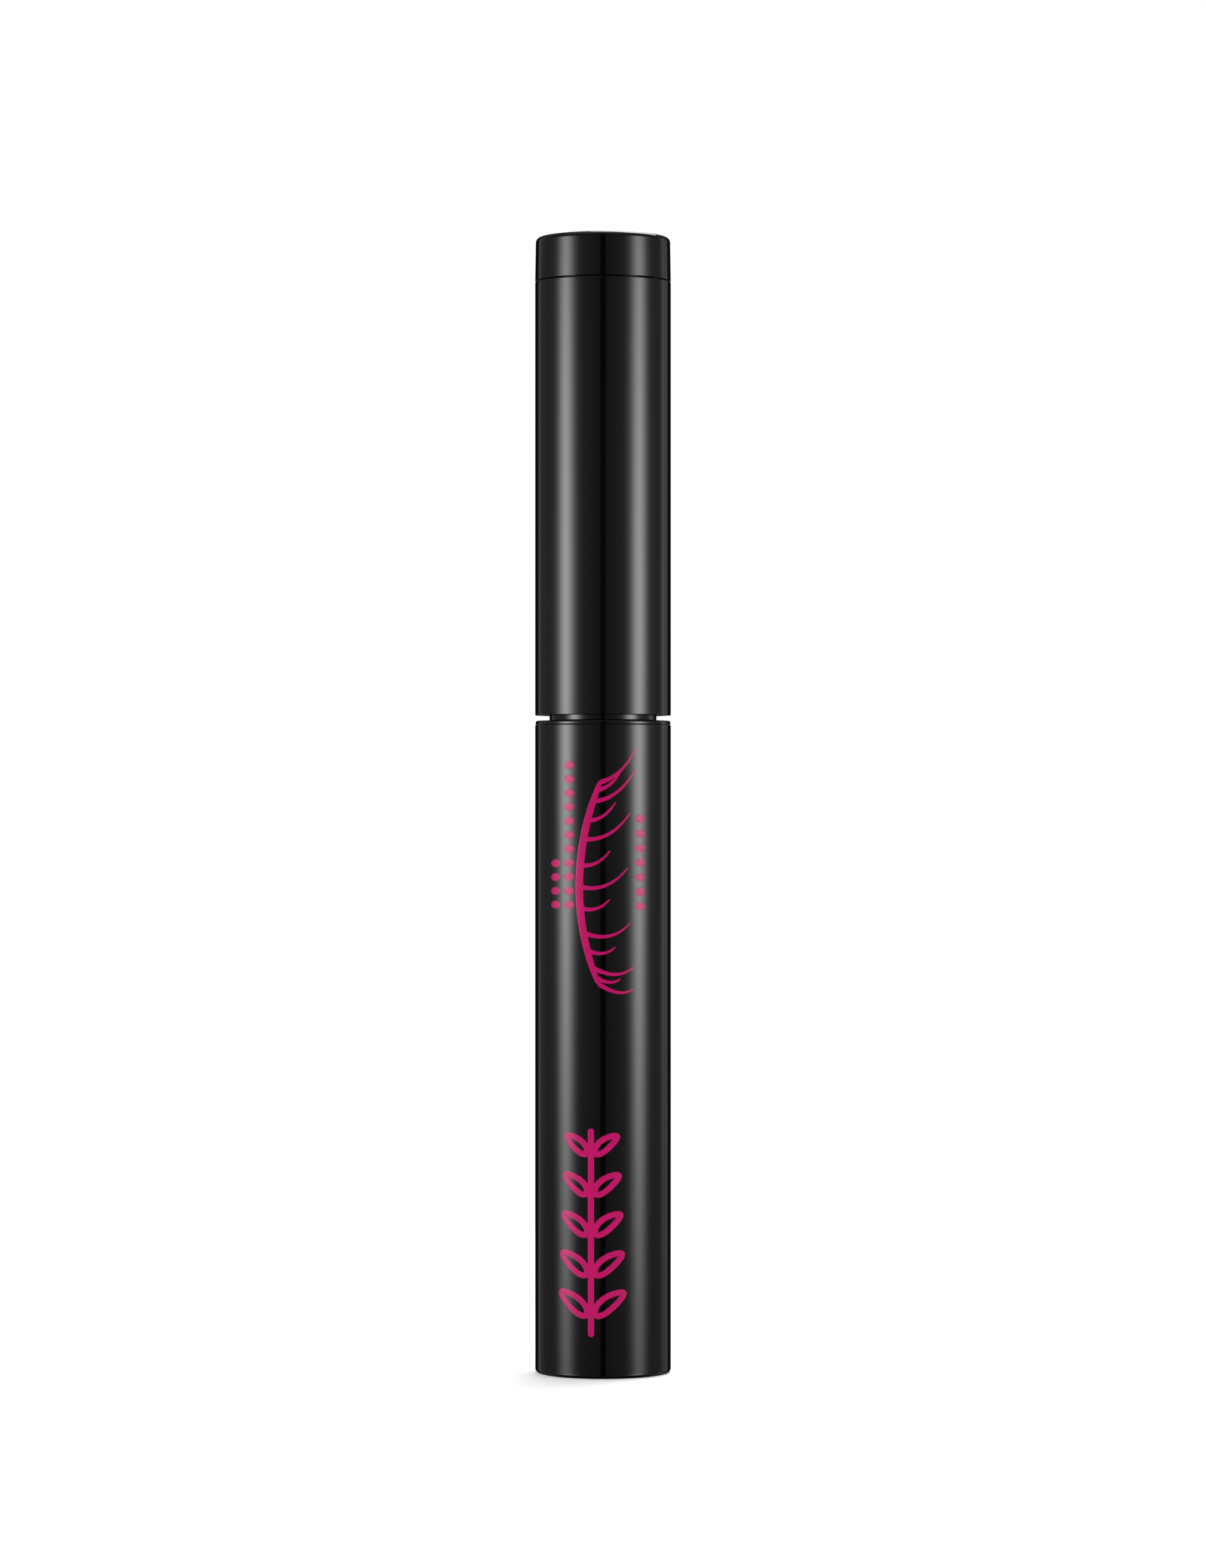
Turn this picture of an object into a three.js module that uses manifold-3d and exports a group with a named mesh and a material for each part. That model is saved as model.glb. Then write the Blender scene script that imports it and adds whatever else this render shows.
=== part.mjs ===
// A battery-driven rotating mascara: a glossy black bottle with a screw neck and wiper, closed by a
// cap that carries a hollow stem, a turning brush, a two-stage planetary gearbox, a small motor, two
// button cells and a push button. Millimetres, +Z up, origin at the centre of the bottle's foot.
// The button faces +Y. Radii are measured from the long axis unless a comment says otherwise.
import * as THREE from "three";
import { mergeVertices } from "three/addons/utils/BufferGeometryUtils.js";
import Module from "manifold-3d";

const wasm = await Module();
wasm.setup();

// ---------------------------------------------------------------- driving dimensions (mm)
const OUTER_R = 8.8; // outside of the bottle and of the cap
const EDGE_ROUND = 0.5; // rounding of the bottle's foot and of the end cap's top
const PRESS_GAP = 0.1; // between two pieces that are pushed together
const RUN_GAP = 0.2; // between pieces that turn past each other
const CONTACT_GAP = 0.05; // between stacked pieces of the electric circuit
const SIDES = 48; // facets of the bottle and the cap
const INNER_SIDES = 32; // facets of the round pieces inside the cap
const SMALL_SIDES = 24; // facets of the small round pieces

// Bottle
const BOTTLE_H = 84.4; // foot to the top of the shoulder
const SHELL_WALL = 1.1;
const SHELL_FLOOR = 1.0;
const FOOT_RECESS = 0.3; // depth of the hollow under the foot
const FOOT_RING = 1.9; // width of the ring that the bottle stands on
const SHOULDER_T = 0.5; // the vial's flange on top of the shell
const VIAL_WALL = 1.0;
const VIAL_FLOOR = 0.8;
const VIAL_GAP = 0.15; // vial to the shell's wall
const VIAL_LIFT = 0.2; // vial to the shell's floor
const VIAL_CONE = 2.4; // height of the slope from the vial's wall to the neck's bore
const COLLAR_H = 2.6; // plain collar under the thread
const NECK_H = 14.0; // shoulder to the mouth
const NECK_WALL = 1.05; // behind the thread
const THREAD_DEPTH = 0.42;
const THREAD_PITCH = 2.6;
const THREAD_TURNS = 1.5;
const THREAD_CLEAR = 0.1; // crest of the neck's thread to crest of the cap's thread

// Wiper
const WIPER_WALL = 0.45;
const WIPER_LEN = 9.0;
const WIPER_FUNNEL = 2.6; // height of the funnel that leads to the lip
const WIPER_FLANGE_T = 0.7;
const WIPER_FLANGE_INSET = 0.25; // the flange ends this far inside the thread's root
const WIPE_GAP = 0.1; // lip to stem

// Cap
const CAP_GAP = 0.7; // shoulder to the cap's lower edge
const SLEEVE_WALL = 0.95;
const SEAM = 0.15; // between the sleeve and the end cap
const INNER_CAP_WALL = 0.65;
const INNER_CAP_INSET = 1.2; // the inner cap starts this far inside the sleeve
const INNER_CAP_TOP = 1.2;
const COLLAR_CLEAR = 0.16; // neck's collar to the inner cap's bore
const GASKET_T = 1.0;
const GASKET_BORE_GAP = 0.25; // stem to the gasket's bore
const GASKET_INSET = 0.15; // the gasket ends this far inside the wiper's flange

// Stem, shaft and brush
const STEM_R = 2.45;
const STEM_TIP_R = 2.08;
const STEM_TAPER = 5.0; // length of the taper at the brush end
const STEM_TIP_GAP = 0.15; // stem's tip to the brush collar
const STEM_BORE_R = 1.5;
const STEM_FLANGE_R = 4.6;
const STEM_FLANGE_T = 1.0;
const SHAFT_R = 0.75;
const BUSH_LEN = 3.0;
const SEAL_T = 0.8;
const BRUSH_LEN = 29.3;
const BRUSH_CORE_R = 1.8;
const BRUSH_CLEAR = 0.65; // spike tips to the neck's bore
const BRUSH_FLOOR_GAP = 0.8; // brush tip to the vial's floor
const BRUSH_COLLAR_H = 1.2;
const BRUSH_STUB_R = 1.2; // the hub's stub inside the brush
const BRUSH_STUB_LEN = 6.0;
const SHAFT_SOCKET_FLOOR = 2.0; // of the stub, left solid under the shaft
const SPIKE_STEP = 2.12; // ring to ring
const SPIKES_PER_RING = 8;
const SPIKE_BASE_R = 0.5;
const RING_TILT = THREE.MathUtils.degToRad(22); // the rings of spikes lean like a swash plate

// Gearbox: the same planetary stage twice
const MODULE = 0.3;
const SUN_TEETH = 12;
const PLANET_TEETH = 12;
const RING_TEETH = SUN_TEETH + 2 * PLANET_TEETH;
const PLANETS = 3;
const PRESSURE = THREE.MathUtils.degToRad(28);
const ADDENDUM = 0.7; // in modules
const DEDENDUM = 1.0; // in modules
const BACKLASH = 0.1; // taken off each tooth at the pitch circle
const GEAR_W = 1.5;
const CARRIER_T = 0.8;
const GEARBOX_PLATE_T = 0.8;
const PIN_R = 0.4;
const PIN_GAP = 0.1;
const CARRIER_HUB_R = 1.3;

// Motor
const MOTOR_R = 4.0;
const MOTOR_LEN = 11.0;
const CAN_WALL = 0.35;
const MOTOR_SHAFT_R = 0.5;
const MAGNET_T = 0.65;
const MAGNET_LEN = 7.0;
const AIR_GAP = 0.25;
const ARMATURE_LEN = 5.5;
const COMMUTATOR_R = 0.9;
const COMMUTATOR_LEN = 1.4;
const END_BELL_T = 1.0;
const TERMINAL_W = 1.4;
const TERMINAL_T = 0.3;
const TERMINAL_Y = 2.3; // the blades' distance from the axis
const TERMINAL_ROOM = 1.6; // between the motor and the battery holder
const MOTOR_SPOKE = 1.2; // thickness of the motor mount's ribs

// Cells and contacts
const CELL_R = 3.95;
const CELL_H = 5.4;
const CELL_RIM = 0.6; // step at the cell's smaller end
const HOLDER_FLOOR = 1.0;
const CONTACT_T = 0.2;
const SPRING_H = 4.2;
const SPRING_WIRE_R = 0.22;
const SPRING_TURNS = 3;
const STRIP_T = 0.25;
const STRIP_W = 2.0;
const STRIP_GAP = 0.15;

// Switch and button: a stack outwards from the cells, along +Y
const BOARD_T = 0.45;
const BOARD_W = 5.4;
const BOARD_LEN = 9.0;
const SWITCH_T = 0.6;
const SWITCH_W = 3.6;
const SWITCH_WELL_R = 1.3;
const PLUNGER_R = 1.15;
const PLUNGER_PROUD = 0.2;
const BUTTON_TRAVEL = 0.25;
const BUTTON_FLANGE_T = 0.25;
const BUTTON_FLANGE_LIP = 0.5; // the flange is wider than the button by this
const BUTTON_R = 2.15;
const BUTTON_H = 1.05; // above the dish's floor
const BUTTON_DROP = 8.3; // end cap's seam to the button's centre
const DISH_R = 4.8; // dish at its floor
const DISH_DRAFT = 0.35; // the dish is wider than that at the sleeve's surface
const DISH_WALL = 0.8;
const FLAT_RECESS = 0.2; // the battery holder's flat stays this far under the dish's floor

// End cap
const END_CAP_H = 5.65;
const END_CAP_WALL = 1.1;
const END_CAP_TOP = 1.3;
const SKIRT_WALL = 0.75;
const PLUG_DEPTH = 1.7; // the boss reaches this far below the seam
const BOSS_R = 3.4;

// ---------------------------------------------------------------- places worked out from them
const shellInR = OUTER_R - SHELL_WALL;
const vialR = shellInR - VIAL_GAP;
const vialInR = vialR - VIAL_WALL;
const vialZ = SHELL_FLOOR + VIAL_LIFT;
const vialFloorZ = vialZ + VIAL_FLOOR;

const sleeveInR = OUTER_R - SLEEVE_WALL;
const innerCapR = sleeveInR - PRESS_GAP;
const innerCapBoreR = innerCapR - INNER_CAP_WALL;
const collarR = innerCapBoreR - COLLAR_CLEAR;
const threadMeetR = innerCapBoreR - THREAD_DEPTH - COLLAR_CLEAR; // crest of the cap's thread
const neckCrestR = threadMeetR - THREAD_CLEAR;
const neckRootR = neckCrestR - THREAD_DEPTH;
const neckBoreR = neckRootR - NECK_WALL;
const mouthZ = BOTTLE_H + NECK_H;

const capZ = BOTTLE_H + CAP_GAP;
const wiperR = neckBoreR - PRESS_GAP;
const lipR = STEM_R + WIPE_GAP;
const gasketZ = mouthZ + WIPER_FLANGE_T + PRESS_GAP;
const wiperFlangeR = neckRootR - WIPER_FLANGE_INSET;
const gasketInR = STEM_R + GASKET_BORE_GAP;
const gasketOutR = wiperFlangeR - GASKET_INSET;
const innerCapZ = capZ + INNER_CAP_INSET;
const ceilingZ = gasketZ + GASKET_T + PRESS_GAP;
const stemFlangeZ = ceilingZ + INNER_CAP_TOP + PRESS_GAP;

const brushTipZ = vialFloorZ + BRUSH_FLOOR_GAP;
const brushTopZ = brushTipZ + BRUSH_LEN;
const stemTipZ = brushTopZ + BRUSH_COLLAR_H + STEM_TIP_GAP;
const stemTopZ = stemFlangeZ + STEM_FLANGE_T;
const brushR = neckBoreR - BRUSH_CLEAR;
const hubBottomZ = brushTopZ - BRUSH_STUB_LEN;
const shaftBottomZ = hubBottomZ + SHAFT_SOCKET_FLOOR;

const holderR = sleeveInR - 0.2; // everything in the cap's drive is built to this radius
const gearboxZ = stemTopZ + PRESS_GAP;
const carrierOutZ = gearboxZ + GEARBOX_PLATE_T + RUN_GAP;
const stageH = CARRIER_T + GEAR_W + 2 * RUN_GAP;
const carrierInZ = carrierOutZ + stageH;
const gearboxLidZ = carrierInZ + stageH;
const motorZ = gearboxLidZ + GEARBOX_PLATE_T + PRESS_GAP;
const motorTopZ = motorZ + MOTOR_LEN;
const orbitR = (MODULE * (SUN_TEETH + PLANET_TEETH)) / 2; // the planets' centres
const sunTipR = MODULE * (SUN_TEETH / 2 + ADDENDUM);

const holderZ = motorTopZ + TERMINAL_ROOM + PRESS_GAP;
const contactZ = holderZ + HOLDER_FLOOR + CONTACT_GAP;
const cellZ = contactZ + CONTACT_T + CONTACT_GAP;
const cellPitch = CELL_H + 0.1;
const springZ = cellZ + 2 * cellPitch;
const endContactZ = springZ + SPRING_H;
const bossZ = endContactZ + STRIP_T + CONTACT_GAP;
const seamZ = bossZ + PLUG_DEPTH;
const buttonZ = seamZ - BUTTON_DROP;
const pocketR = CELL_R + 0.15;
const holderTopZ = cellZ + 2 * cellPitch + 0.6;

const boardY = CELL_R + 0.15;
const switchY = boardY + BOARD_T + CONTACT_GAP;
const plungerY = switchY + SWITCH_T + PLUNGER_PROUD;
const buttonInY = plungerY + CONTACT_GAP;
const buttonFlangeY = buttonInY + 0.1;
const dishInY = buttonFlangeY + BUTTON_FLANGE_T + 0.1;
const dishY = dishInY + DISH_WALL;
const dishBossR = DISH_R + DISH_DRAFT + DISH_WALL;
const flatY = dishInY - FLAT_RECESS;
const skirtZ = buttonZ + dishBossR + 0.3;
const stripY = boardY + BOARD_T + CONTACT_GAP; // inner face of the two strips on the button's side
const returnY = sleeveInR - SKIRT_WALL - PRESS_GAP - 0.75; // outer face of the strip on the other side

// ---------------------------------------------------------------- finishes
const finish = (color, roughness, metalness = 0) =>
  new THREE.MeshStandardMaterial({ color, roughness, metalness });
const glossBlack = finish(0x100e0f, 0.12);
const innerBlack = finish(0x1a191b, 0.45);
const hotPink = finish(0xff009b, 0.3);
const wiperNatural = finish(0xd9d6cf, 0.5);
const sealRubber = finish(0x202225, 0.7);
const brushBlack = finish(0x0a0a0b, 0.35);
const steel = finish(0xb9bcc0, 0.3, 1);
const brass = finish(0xc8a45a, 0.35, 1);
const copper = finish(0xb9714a, 0.4, 1);
const gearWhite = finish(0xe9e6dd, 0.5);
const frameGrey = finish(0x6c6e72, 0.6);
const magnetGrey = finish(0x3b3c40, 0.6);
const boardGreen = finish(0x1d5b3a, 0.5);

// ---------------------------------------------------------------- shape helpers
const box = (w, d, h) => new THREE.BoxGeometry(w, d, h);

// A box given by its lowest and highest corners.
const boxBetween = ([x0, y0, z0], [x1, y1, z1]) =>
  box(x1 - x0, y1 - y0, z1 - z0).translate((x0 + x1) / 2, (y0 + y1) / 2, (z0 + z1) / 2);

// Points of an arc in a profile, from angle a to angle b in degrees.
function arc(centreR, centreZ, radius, a, b, steps = 3) {
  return Array.from({ length: steps + 1 }, (_, i) => {
    const angle = THREE.MathUtils.degToRad(a + ((b - a) * i) / steps);
    return [centreR + radius * Math.cos(angle), centreZ + radius * Math.sin(angle)];
  });
}

// Turns a profile of [radius, height] points about Z. It starts and ends on the axis, or is a ring.
function revolve(profile, sides = SIDES) {
  const points = profile.map(([r, z]) => new THREE.Vector2(r, z));
  if (points[0].x > 0) points.push(points[0].clone());
  if (THREE.ShapeUtils.area(points) < 0) points.reverse();
  return new THREE.LatheGeometry(points, sides).rotateX(Math.PI / 2);
}

const disc = (radius, height, sides = SIDES) =>
  revolve([[0, 0], [radius, 0], [radius, height], [0, height]], sides);

const ring = (inR, outR, height, sides = SIDES) =>
  revolve([[inR, 0], [outR, 0], [outR, height], [inR, height]], sides);

const extrude = (shape, height, steps = 1) =>
  new THREE.ExtrudeGeometry(shape, { depth: height, steps, bevelEnabled: false, curveSegments: 12 });

function toSolid(geometry) {
  const bare = geometry.index ? geometry.toNonIndexed() : geometry.clone();
  bare.deleteAttribute("normal");
  bare.deleteAttribute("uv");
  const merged = mergeVertices(bare, 1e-4);
  const corners = merged.index.array;
  const kept = [];
  for (let i = 0; i < corners.length; i += 3) {
    const [a, b, c] = corners.subarray(i, i + 3);
    if (a !== b && b !== c && c !== a) kept.push(a, b, c);
  }
  return new wasm.Manifold(
    new wasm.Mesh({
      numProp: 3,
      vertProperties: merged.attributes.position.array,
      triVerts: new Uint32Array(kept),
    }),
  );
}

function toGeometry(solid) {
  const mesh = solid.getMesh();
  return new THREE.BufferGeometry()
    .setAttribute("position", new THREE.BufferAttribute(mesh.vertProperties, 3))
    .setIndex(new THREE.BufferAttribute(mesh.triVerts, 1))
    .toNonIndexed();
}

const cut = (geometry, ...tools) =>
  toGeometry(tools.reduce((solid, tool) => solid.subtract(toSolid(tool)), toSolid(geometry)));

const join = (geometry, ...more) =>
  toGeometry(more.reduce((solid, extra) => solid.add(toSolid(extra)), toSolid(geometry)));

function part(name, geometry, material, z = 0) {
  geometry.computeVertexNormals();
  const mesh = new THREE.Mesh(geometry, material);
  mesh.name = name;
  mesh.position.z = z;
  return mesh;
}

function group(...children) {
  const made = new THREE.Group();
  made.add(...children.flat());
  return made;
}

// A screw thread's ridge: a straight prism of trapezium section is wound about Z. The section's X
// runs along the axis and its Y out of the wall (negative for an inside thread). Its foot is rooted
// in the wall, and its crest sinks into the wall at both ends.
function threadRidge(wallR, depth, startZ) {
  const root = -0.25 * Math.sign(depth);
  const half = THREAD_PITCH / 4 + 0.15;
  const section = new THREE.Shape([
    new THREE.Vector2(-half, root),
    new THREE.Vector2(-THREAD_PITCH / 8, depth),
    new THREE.Vector2(THREAD_PITCH / 8, depth),
    new THREE.Vector2(half, root),
  ]);
  const ridge = extrude(section, 1, (THREAD_TURNS * SIDES) / 2);
  const position = ridge.attributes.position;
  for (let i = 0; i < position.count; i += 1) {
    const along = position.getZ(i);
    const rise = Math.min(1, along * 12, (1 - along) * 12);
    const isCrest = position.getY(i) / depth > 0;
    const offset = isCrest ? THREE.MathUtils.lerp(root * 0.6, depth, rise) : root;
    const angle = along * THREAD_TURNS * 2 * Math.PI;
    const height = startZ + position.getX(i) + along * THREAD_TURNS * THREAD_PITCH;
    position.setXYZ(i, (wallR + offset) * Math.cos(angle), (wallR + offset) * Math.sin(angle), height);
  }
  return ridge;
}

// ---------------------------------------------------------------- bottle
function bottleShell() {
  const height = BOTTLE_H - SHOULDER_T - 0.05;
  const footInR = OUTER_R - EDGE_ROUND - FOOT_RING;
  return revolve([
    [0, FOOT_RECESS],
    [footInR - FOOT_RECESS, FOOT_RECESS],
    [footInR, 0],
    ...arc(OUTER_R - EDGE_ROUND, EDGE_ROUND, EDGE_ROUND, -90, 0),
    [OUTER_R, height - 0.08],
    [OUTER_R - 0.08, height],
    [shellInR, height],
    [shellInR, SHELL_FLOOR + 0.6],
    [shellInR - 0.6, SHELL_FLOOR],
    [0, SHELL_FLOOR],
  ]);
}

// Built with its outside floor at height 0: body, shoulder flange, collar, threaded neck and bore.
function vial() {
  const shoulderZ = BOTTLE_H - vialZ;
  const topZ = mouthZ - vialZ;
  const flangeZ = shoulderZ - SHOULDER_T;
  const neckFootZ = shoulderZ + COLLAR_H;
  const body = revolve([
    [0, 0],
    [vialR - 0.8, 0],
    [vialR, 0.8],
    [vialR, flangeZ],
    [OUTER_R - 0.05, flangeZ],
    ...arc(OUTER_R - 0.4, shoulderZ - 0.35, 0.35, 0, 90, 3),
    [collarR, shoulderZ],
    [collarR, neckFootZ],
    [neckRootR, neckFootZ + 0.4],
    [neckRootR, topZ - 0.3],
    [neckRootR - 0.3, topZ],
    [neckBoreR, topZ],
    [neckBoreR, shoulderZ - 1],
    [vialInR, shoulderZ - 1 - VIAL_CONE],
    [vialInR, VIAL_FLOOR + 0.5],
    [vialInR - 0.5, VIAL_FLOOR],
    [0, VIAL_FLOOR],
  ]);
  const start = neckFootZ + 0.6 + THREAD_PITCH / 4;
  return join(body, threadRidge(neckRootR, THREAD_DEPTH, start));
}

// Built with the underside of its flange at height 0.
function wiper() {
  return revolve([
    [lipR, -WIPER_LEN],
    [lipR + 0.35, -WIPER_LEN - 0.25],
    [wiperR - 0.3, -WIPER_LEN + WIPER_FUNNEL - 0.4],
    [wiperR, -WIPER_LEN + WIPER_FUNNEL],
    [wiperR, 0.04],
    [wiperFlangeR, 0.04],
    [wiperFlangeR, WIPER_FLANGE_T - 0.15],
    [wiperFlangeR - 0.15, WIPER_FLANGE_T],
    [wiperR - WIPER_WALL + 0.3, WIPER_FLANGE_T],
    [wiperR - WIPER_WALL, WIPER_FLANGE_T - 0.4],
    [wiperR - WIPER_WALL, -WIPER_LEN + WIPER_FUNNEL + 0.3],
    [lipR, -WIPER_LEN + 0.4],
  ], INNER_SIDES);
}

// ---------------------------------------------------------------- cap
// Built with its lower edge at height 0. The dish for the finger is sunk from +Y and has its own
// floor inside the sleeve, with the button's hole in it.
function capSleeve() {
  const height = seamZ - capZ;
  const bevel = 0.1;
  const dishZ = buttonZ - capZ;
  const tube = revolve([
    [sleeveInR + bevel, 0],
    [OUTER_R - bevel, 0],
    [OUTER_R, bevel],
    [OUTER_R, height - bevel],
    [OUTER_R - bevel, height],
    [sleeveInR, height],
    [sleeveInR, bevel],
  ]);
  const reach = OUTER_R - 0.2 - dishInY;
  const boss = new THREE.CylinderGeometry(dishBossR, dishBossR, reach, SIDES);
  boss.translate(0, dishInY + reach / 2, dishZ);
  const within = disc(OUTER_R - 0.2, height);
  const bossInside = toGeometry(toSolid(boss).intersect(toSolid(within)));
  const depth = OUTER_R + 1 - dishY;
  const scoop = new THREE.CylinderGeometry(DISH_R + DISH_DRAFT, DISH_R, depth, SIDES);
  scoop.translate(0, dishY + depth / 2, dishZ);
  const holeR = BUTTON_R + 0.1;
  const hole = new THREE.CylinderGeometry(holeR, holeR, 4, SMALL_SIDES);
  hole.translate(0, dishY, dishZ);
  return cut(join(tube, bossInside), scoop, hole);
}

// Built with its lower edge at height 0: a threaded skirt under a ceiling with the stem's hole.
function innerCap() {
  const ceiling = ceilingZ - innerCapZ;
  const top = ceiling + INNER_CAP_TOP;
  const body = revolve([
    [innerCapBoreR, 0],
    [innerCapR, 0],
    [innerCapR, top],
    [STEM_R + PRESS_GAP, top],
    [STEM_R + PRESS_GAP, ceiling],
    [innerCapBoreR, ceiling],
  ]);
  const start = BOTTLE_H + COLLAR_H + 0.6 - innerCapZ + (THREAD_PITCH * 3) / 4;
  return join(body, threadRidge(innerCapBoreR, threadMeetR - innerCapBoreR, start));
}

// Built with its tip at height 0: a hollow tube that narrows towards the brush, and its flange.
function stem() {
  const flangeZ = stemFlangeZ - stemTipZ;
  const top = stemTopZ - stemTipZ;
  return revolve([
    [STEM_BORE_R, 0],
    ...arc(STEM_TIP_R - 0.35, 0.35, 0.35, -90, 0, 3),
    [STEM_R, STEM_TAPER],
    [STEM_R, flangeZ],
    [STEM_FLANGE_R, flangeZ],
    [STEM_FLANGE_R, top],
    [STEM_BORE_R, top],
  ], INNER_SIDES);
}

// ---------------------------------------------------------------- brush
// Built with its rounded tip at height 0 and the hub's socket at the top.
function brushHead() {
  const coreTop = BRUSH_LEN - 0.1;
  const core = revolve([
    [0, 0],
    [BRUSH_CORE_R * 0.55, 0.5],
    [BRUSH_CORE_R * 0.85, 1.8],
    [BRUSH_CORE_R, 4],
    [BRUSH_CORE_R, coreTop - 3],
    [BRUSH_STUB_R + 0.45, coreTop],
    [BRUSH_STUB_R + 0.1, coreTop],
    [BRUSH_STUB_R + 0.1, coreTop - BRUSH_STUB_LEN],
    [0, coreTop - BRUSH_STUB_LEN],
  ], 16);
  const spikes = [];
  const rings = Math.floor((BRUSH_LEN - 5.4) / SPIKE_STEP);
  for (let level = 0; level <= rings; level += 1) {
    const height = 2.9 + level * SPIKE_STEP;
    for (let i = 0; i < SPIKES_PER_RING; i += 1) {
      const angle = ((i + (level % 2) / 2) * 2 * Math.PI) / SPIKES_PER_RING;
      spikes.push(spike(angle, height));
    }
  }
  return join(core, ...spikes);
}

// One four-sided spike from inside the core to the brush's outer radius, leaning with its ring.
function spike(angle, height) {
  const start = BRUSH_STUB_R + 0.3;
  const length = brushR - start;
  const cone = new THREE.ConeGeometry(SPIKE_BASE_R, length, 4).rotateZ(-Math.PI / 2);
  cone.translate(start + length / 2, 0, 0);
  const lean = Math.tan(RING_TILT) * Math.cos(angle);
  cone.applyMatrix4(new THREE.Matrix4().set(1, 0, 0, 0, 0, 1, 0, 0, lean, 0, 1, 0, 0, 0, 0, 1));
  return cone.rotateZ(angle).translate(0, 0, height);
}

// Built with its stub's end at height 0: the stub in the brush, and the collar under the stem.
function brushHub() {
  const collarZ = BRUSH_STUB_LEN;
  const top = collarZ + BRUSH_COLLAR_H;
  return revolve([
    [0, 0],
    [BRUSH_STUB_R, 0],
    [BRUSH_STUB_R, collarZ],
    ...arc(STEM_TIP_R - 0.45, collarZ + 0.45, 0.45, -90, 0, 3),
    [STEM_TIP_R - 0.2, collarZ + BRUSH_COLLAR_H / 2],
    [STEM_TIP_R - 0.05, top - 0.2],
    [STEM_TIP_R - 0.2, top],
    [SHAFT_R + 0.05, top],
    [SHAFT_R + 0.05, shaftBottomZ - hubBottomZ - 0.1],
    [0, shaftBottomZ - hubBottomZ - 0.1],
  ], SMALL_SIDES);
}

// ---------------------------------------------------------------- gears
// The outline of an involute gear, with a tooth centred on +X. Below the base circle the flanks are
// radial. thin is taken off each tooth at the pitch circle, and added to it when negative.
function gearOutline(teeth, addendum, dedendum, thin) {
  const pitchR = (MODULE * teeth) / 2;
  const baseR = pitchR * Math.cos(PRESSURE);
  const tipR = pitchR + addendum * MODULE;
  const rootR = pitchR - dedendum * MODULE;
  const involute = (r) => {
    const a = Math.acos(Math.min(1, baseR / r));
    return Math.tan(a) - a;
  };
  const halfAtPitch = (Math.PI * MODULE) / 2 / 2 / pitchR - thin / 2 / pitchR;
  const halfAt = (r) => halfAtPitch + involute(pitchR) - involute(Math.max(r, baseR));
  const startR = Math.max(baseR, rootR);
  const flank = [rootR, ...[0, 0.5, 1].map((t) => startR + (tipR - startR) * t)];
  const radii = rootR < baseR ? flank : flank.slice(1);
  const points = [];
  for (let i = 0; i < teeth; i += 1) {
    const middle = (i * 2 * Math.PI) / teeth;
    for (const r of radii) points.push(polar(r, middle - halfAt(r)));
    for (const r of radii.toReversed()) points.push(polar(r, middle + halfAt(r)));
  }
  return points;
}

const polar = (r, angle) => new THREE.Vector2(r * Math.cos(angle), r * Math.sin(angle));

function circlePath(radius, sides, x = 0, y = 0) {
  const points = Array.from({ length: sides }, (_, i) => polar(radius, (i * 2 * Math.PI) / sides));
  return new THREE.Path(points.map((p) => p.add(new THREE.Vector2(x, y))));
}

function externalGear(teeth, boreR) {
  const shape = new THREE.Shape(gearOutline(teeth, ADDENDUM, DEDENDUM, BACKLASH));
  shape.holes.push(circlePath(boreR, 12));
  return extrude(shape, GEAR_W);
}

// The fixed ring gear is one long housing for both stages.
function ringGear() {
  const shape = new THREE.Shape(circlePath(holderR, INNER_SIDES).getPoints());
  const halfTooth = Math.PI / RING_TEETH;
  const inside = gearOutline(RING_TEETH, DEDENDUM, ADDENDUM, -BACKLASH).map((point) =>
    point.rotateAround(new THREE.Vector2(), halfTooth),
  );
  shape.holes.push(new THREE.Path(inside));
  return extrude(shape, gearboxLidZ - gearboxZ - GEARBOX_PLATE_T - 0.1);
}

// The planets' centres, in the carrier's own plane.
const planetPlaces = Array.from({ length: PLANETS }, (_, i) =>
  polar(orbitR, (i * 2 * Math.PI) / PLANETS),
);

// A carrier plate with a pin for each planet. Built with the plate's underside at height 0.
function carrier() {
  const plate = disc(orbitR + PIN_R + 0.5, CARRIER_T, SMALL_SIDES);
  const pins = planetPlaces.map(({ x, y }) =>
    disc(PIN_R, GEAR_W + 0.3, 12).translate(x, y, CARRIER_T - 0.1),
  );
  return join(plate, ...pins);
}

// The output carrier has a hub below it that grips the brush's shaft.
function outputCarrier() {
  const hubLen = GEARBOX_PLATE_T + RUN_GAP;
  const hub = disc(CARRIER_HUB_R, hubLen + 0.2, SMALL_SIDES).translate(0, 0, -hubLen);
  const bore = disc(SHAFT_R + 0.05, hubLen + 0.6, 16).translate(0, 0, -hubLen - 0.1);
  return cut(join(carrier(), hub), bore);
}

// The input carrier drives the second stage's sun gear, which is moulded under it.
function inputCarrier() {
  const sun = externalGear(SUN_TEETH, 0.2).translate(0, 0, -GEAR_W - RUN_GAP / 2);
  const neck = disc(1, 0.4, 16).translate(0, 0, -0.3);
  return join(carrier(), sun, neck);
}

function planets(stage, z) {
  return planetPlaces.map(({ x, y }, i) => {
    const gear = externalGear(PLANET_TEETH, PIN_R + PIN_GAP).rotateZ(Math.PI / PLANET_TEETH);
    const made = part(`planet_${stage}_${i + 1}`, gear, gearWhite, z);
    made.position.x = x;
    made.position.y = y;
    return made;
  });
}

const gearboxPlate = (holeR) => ring(holeR, holderR, GEARBOX_PLATE_T, INNER_SIDES);

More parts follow.
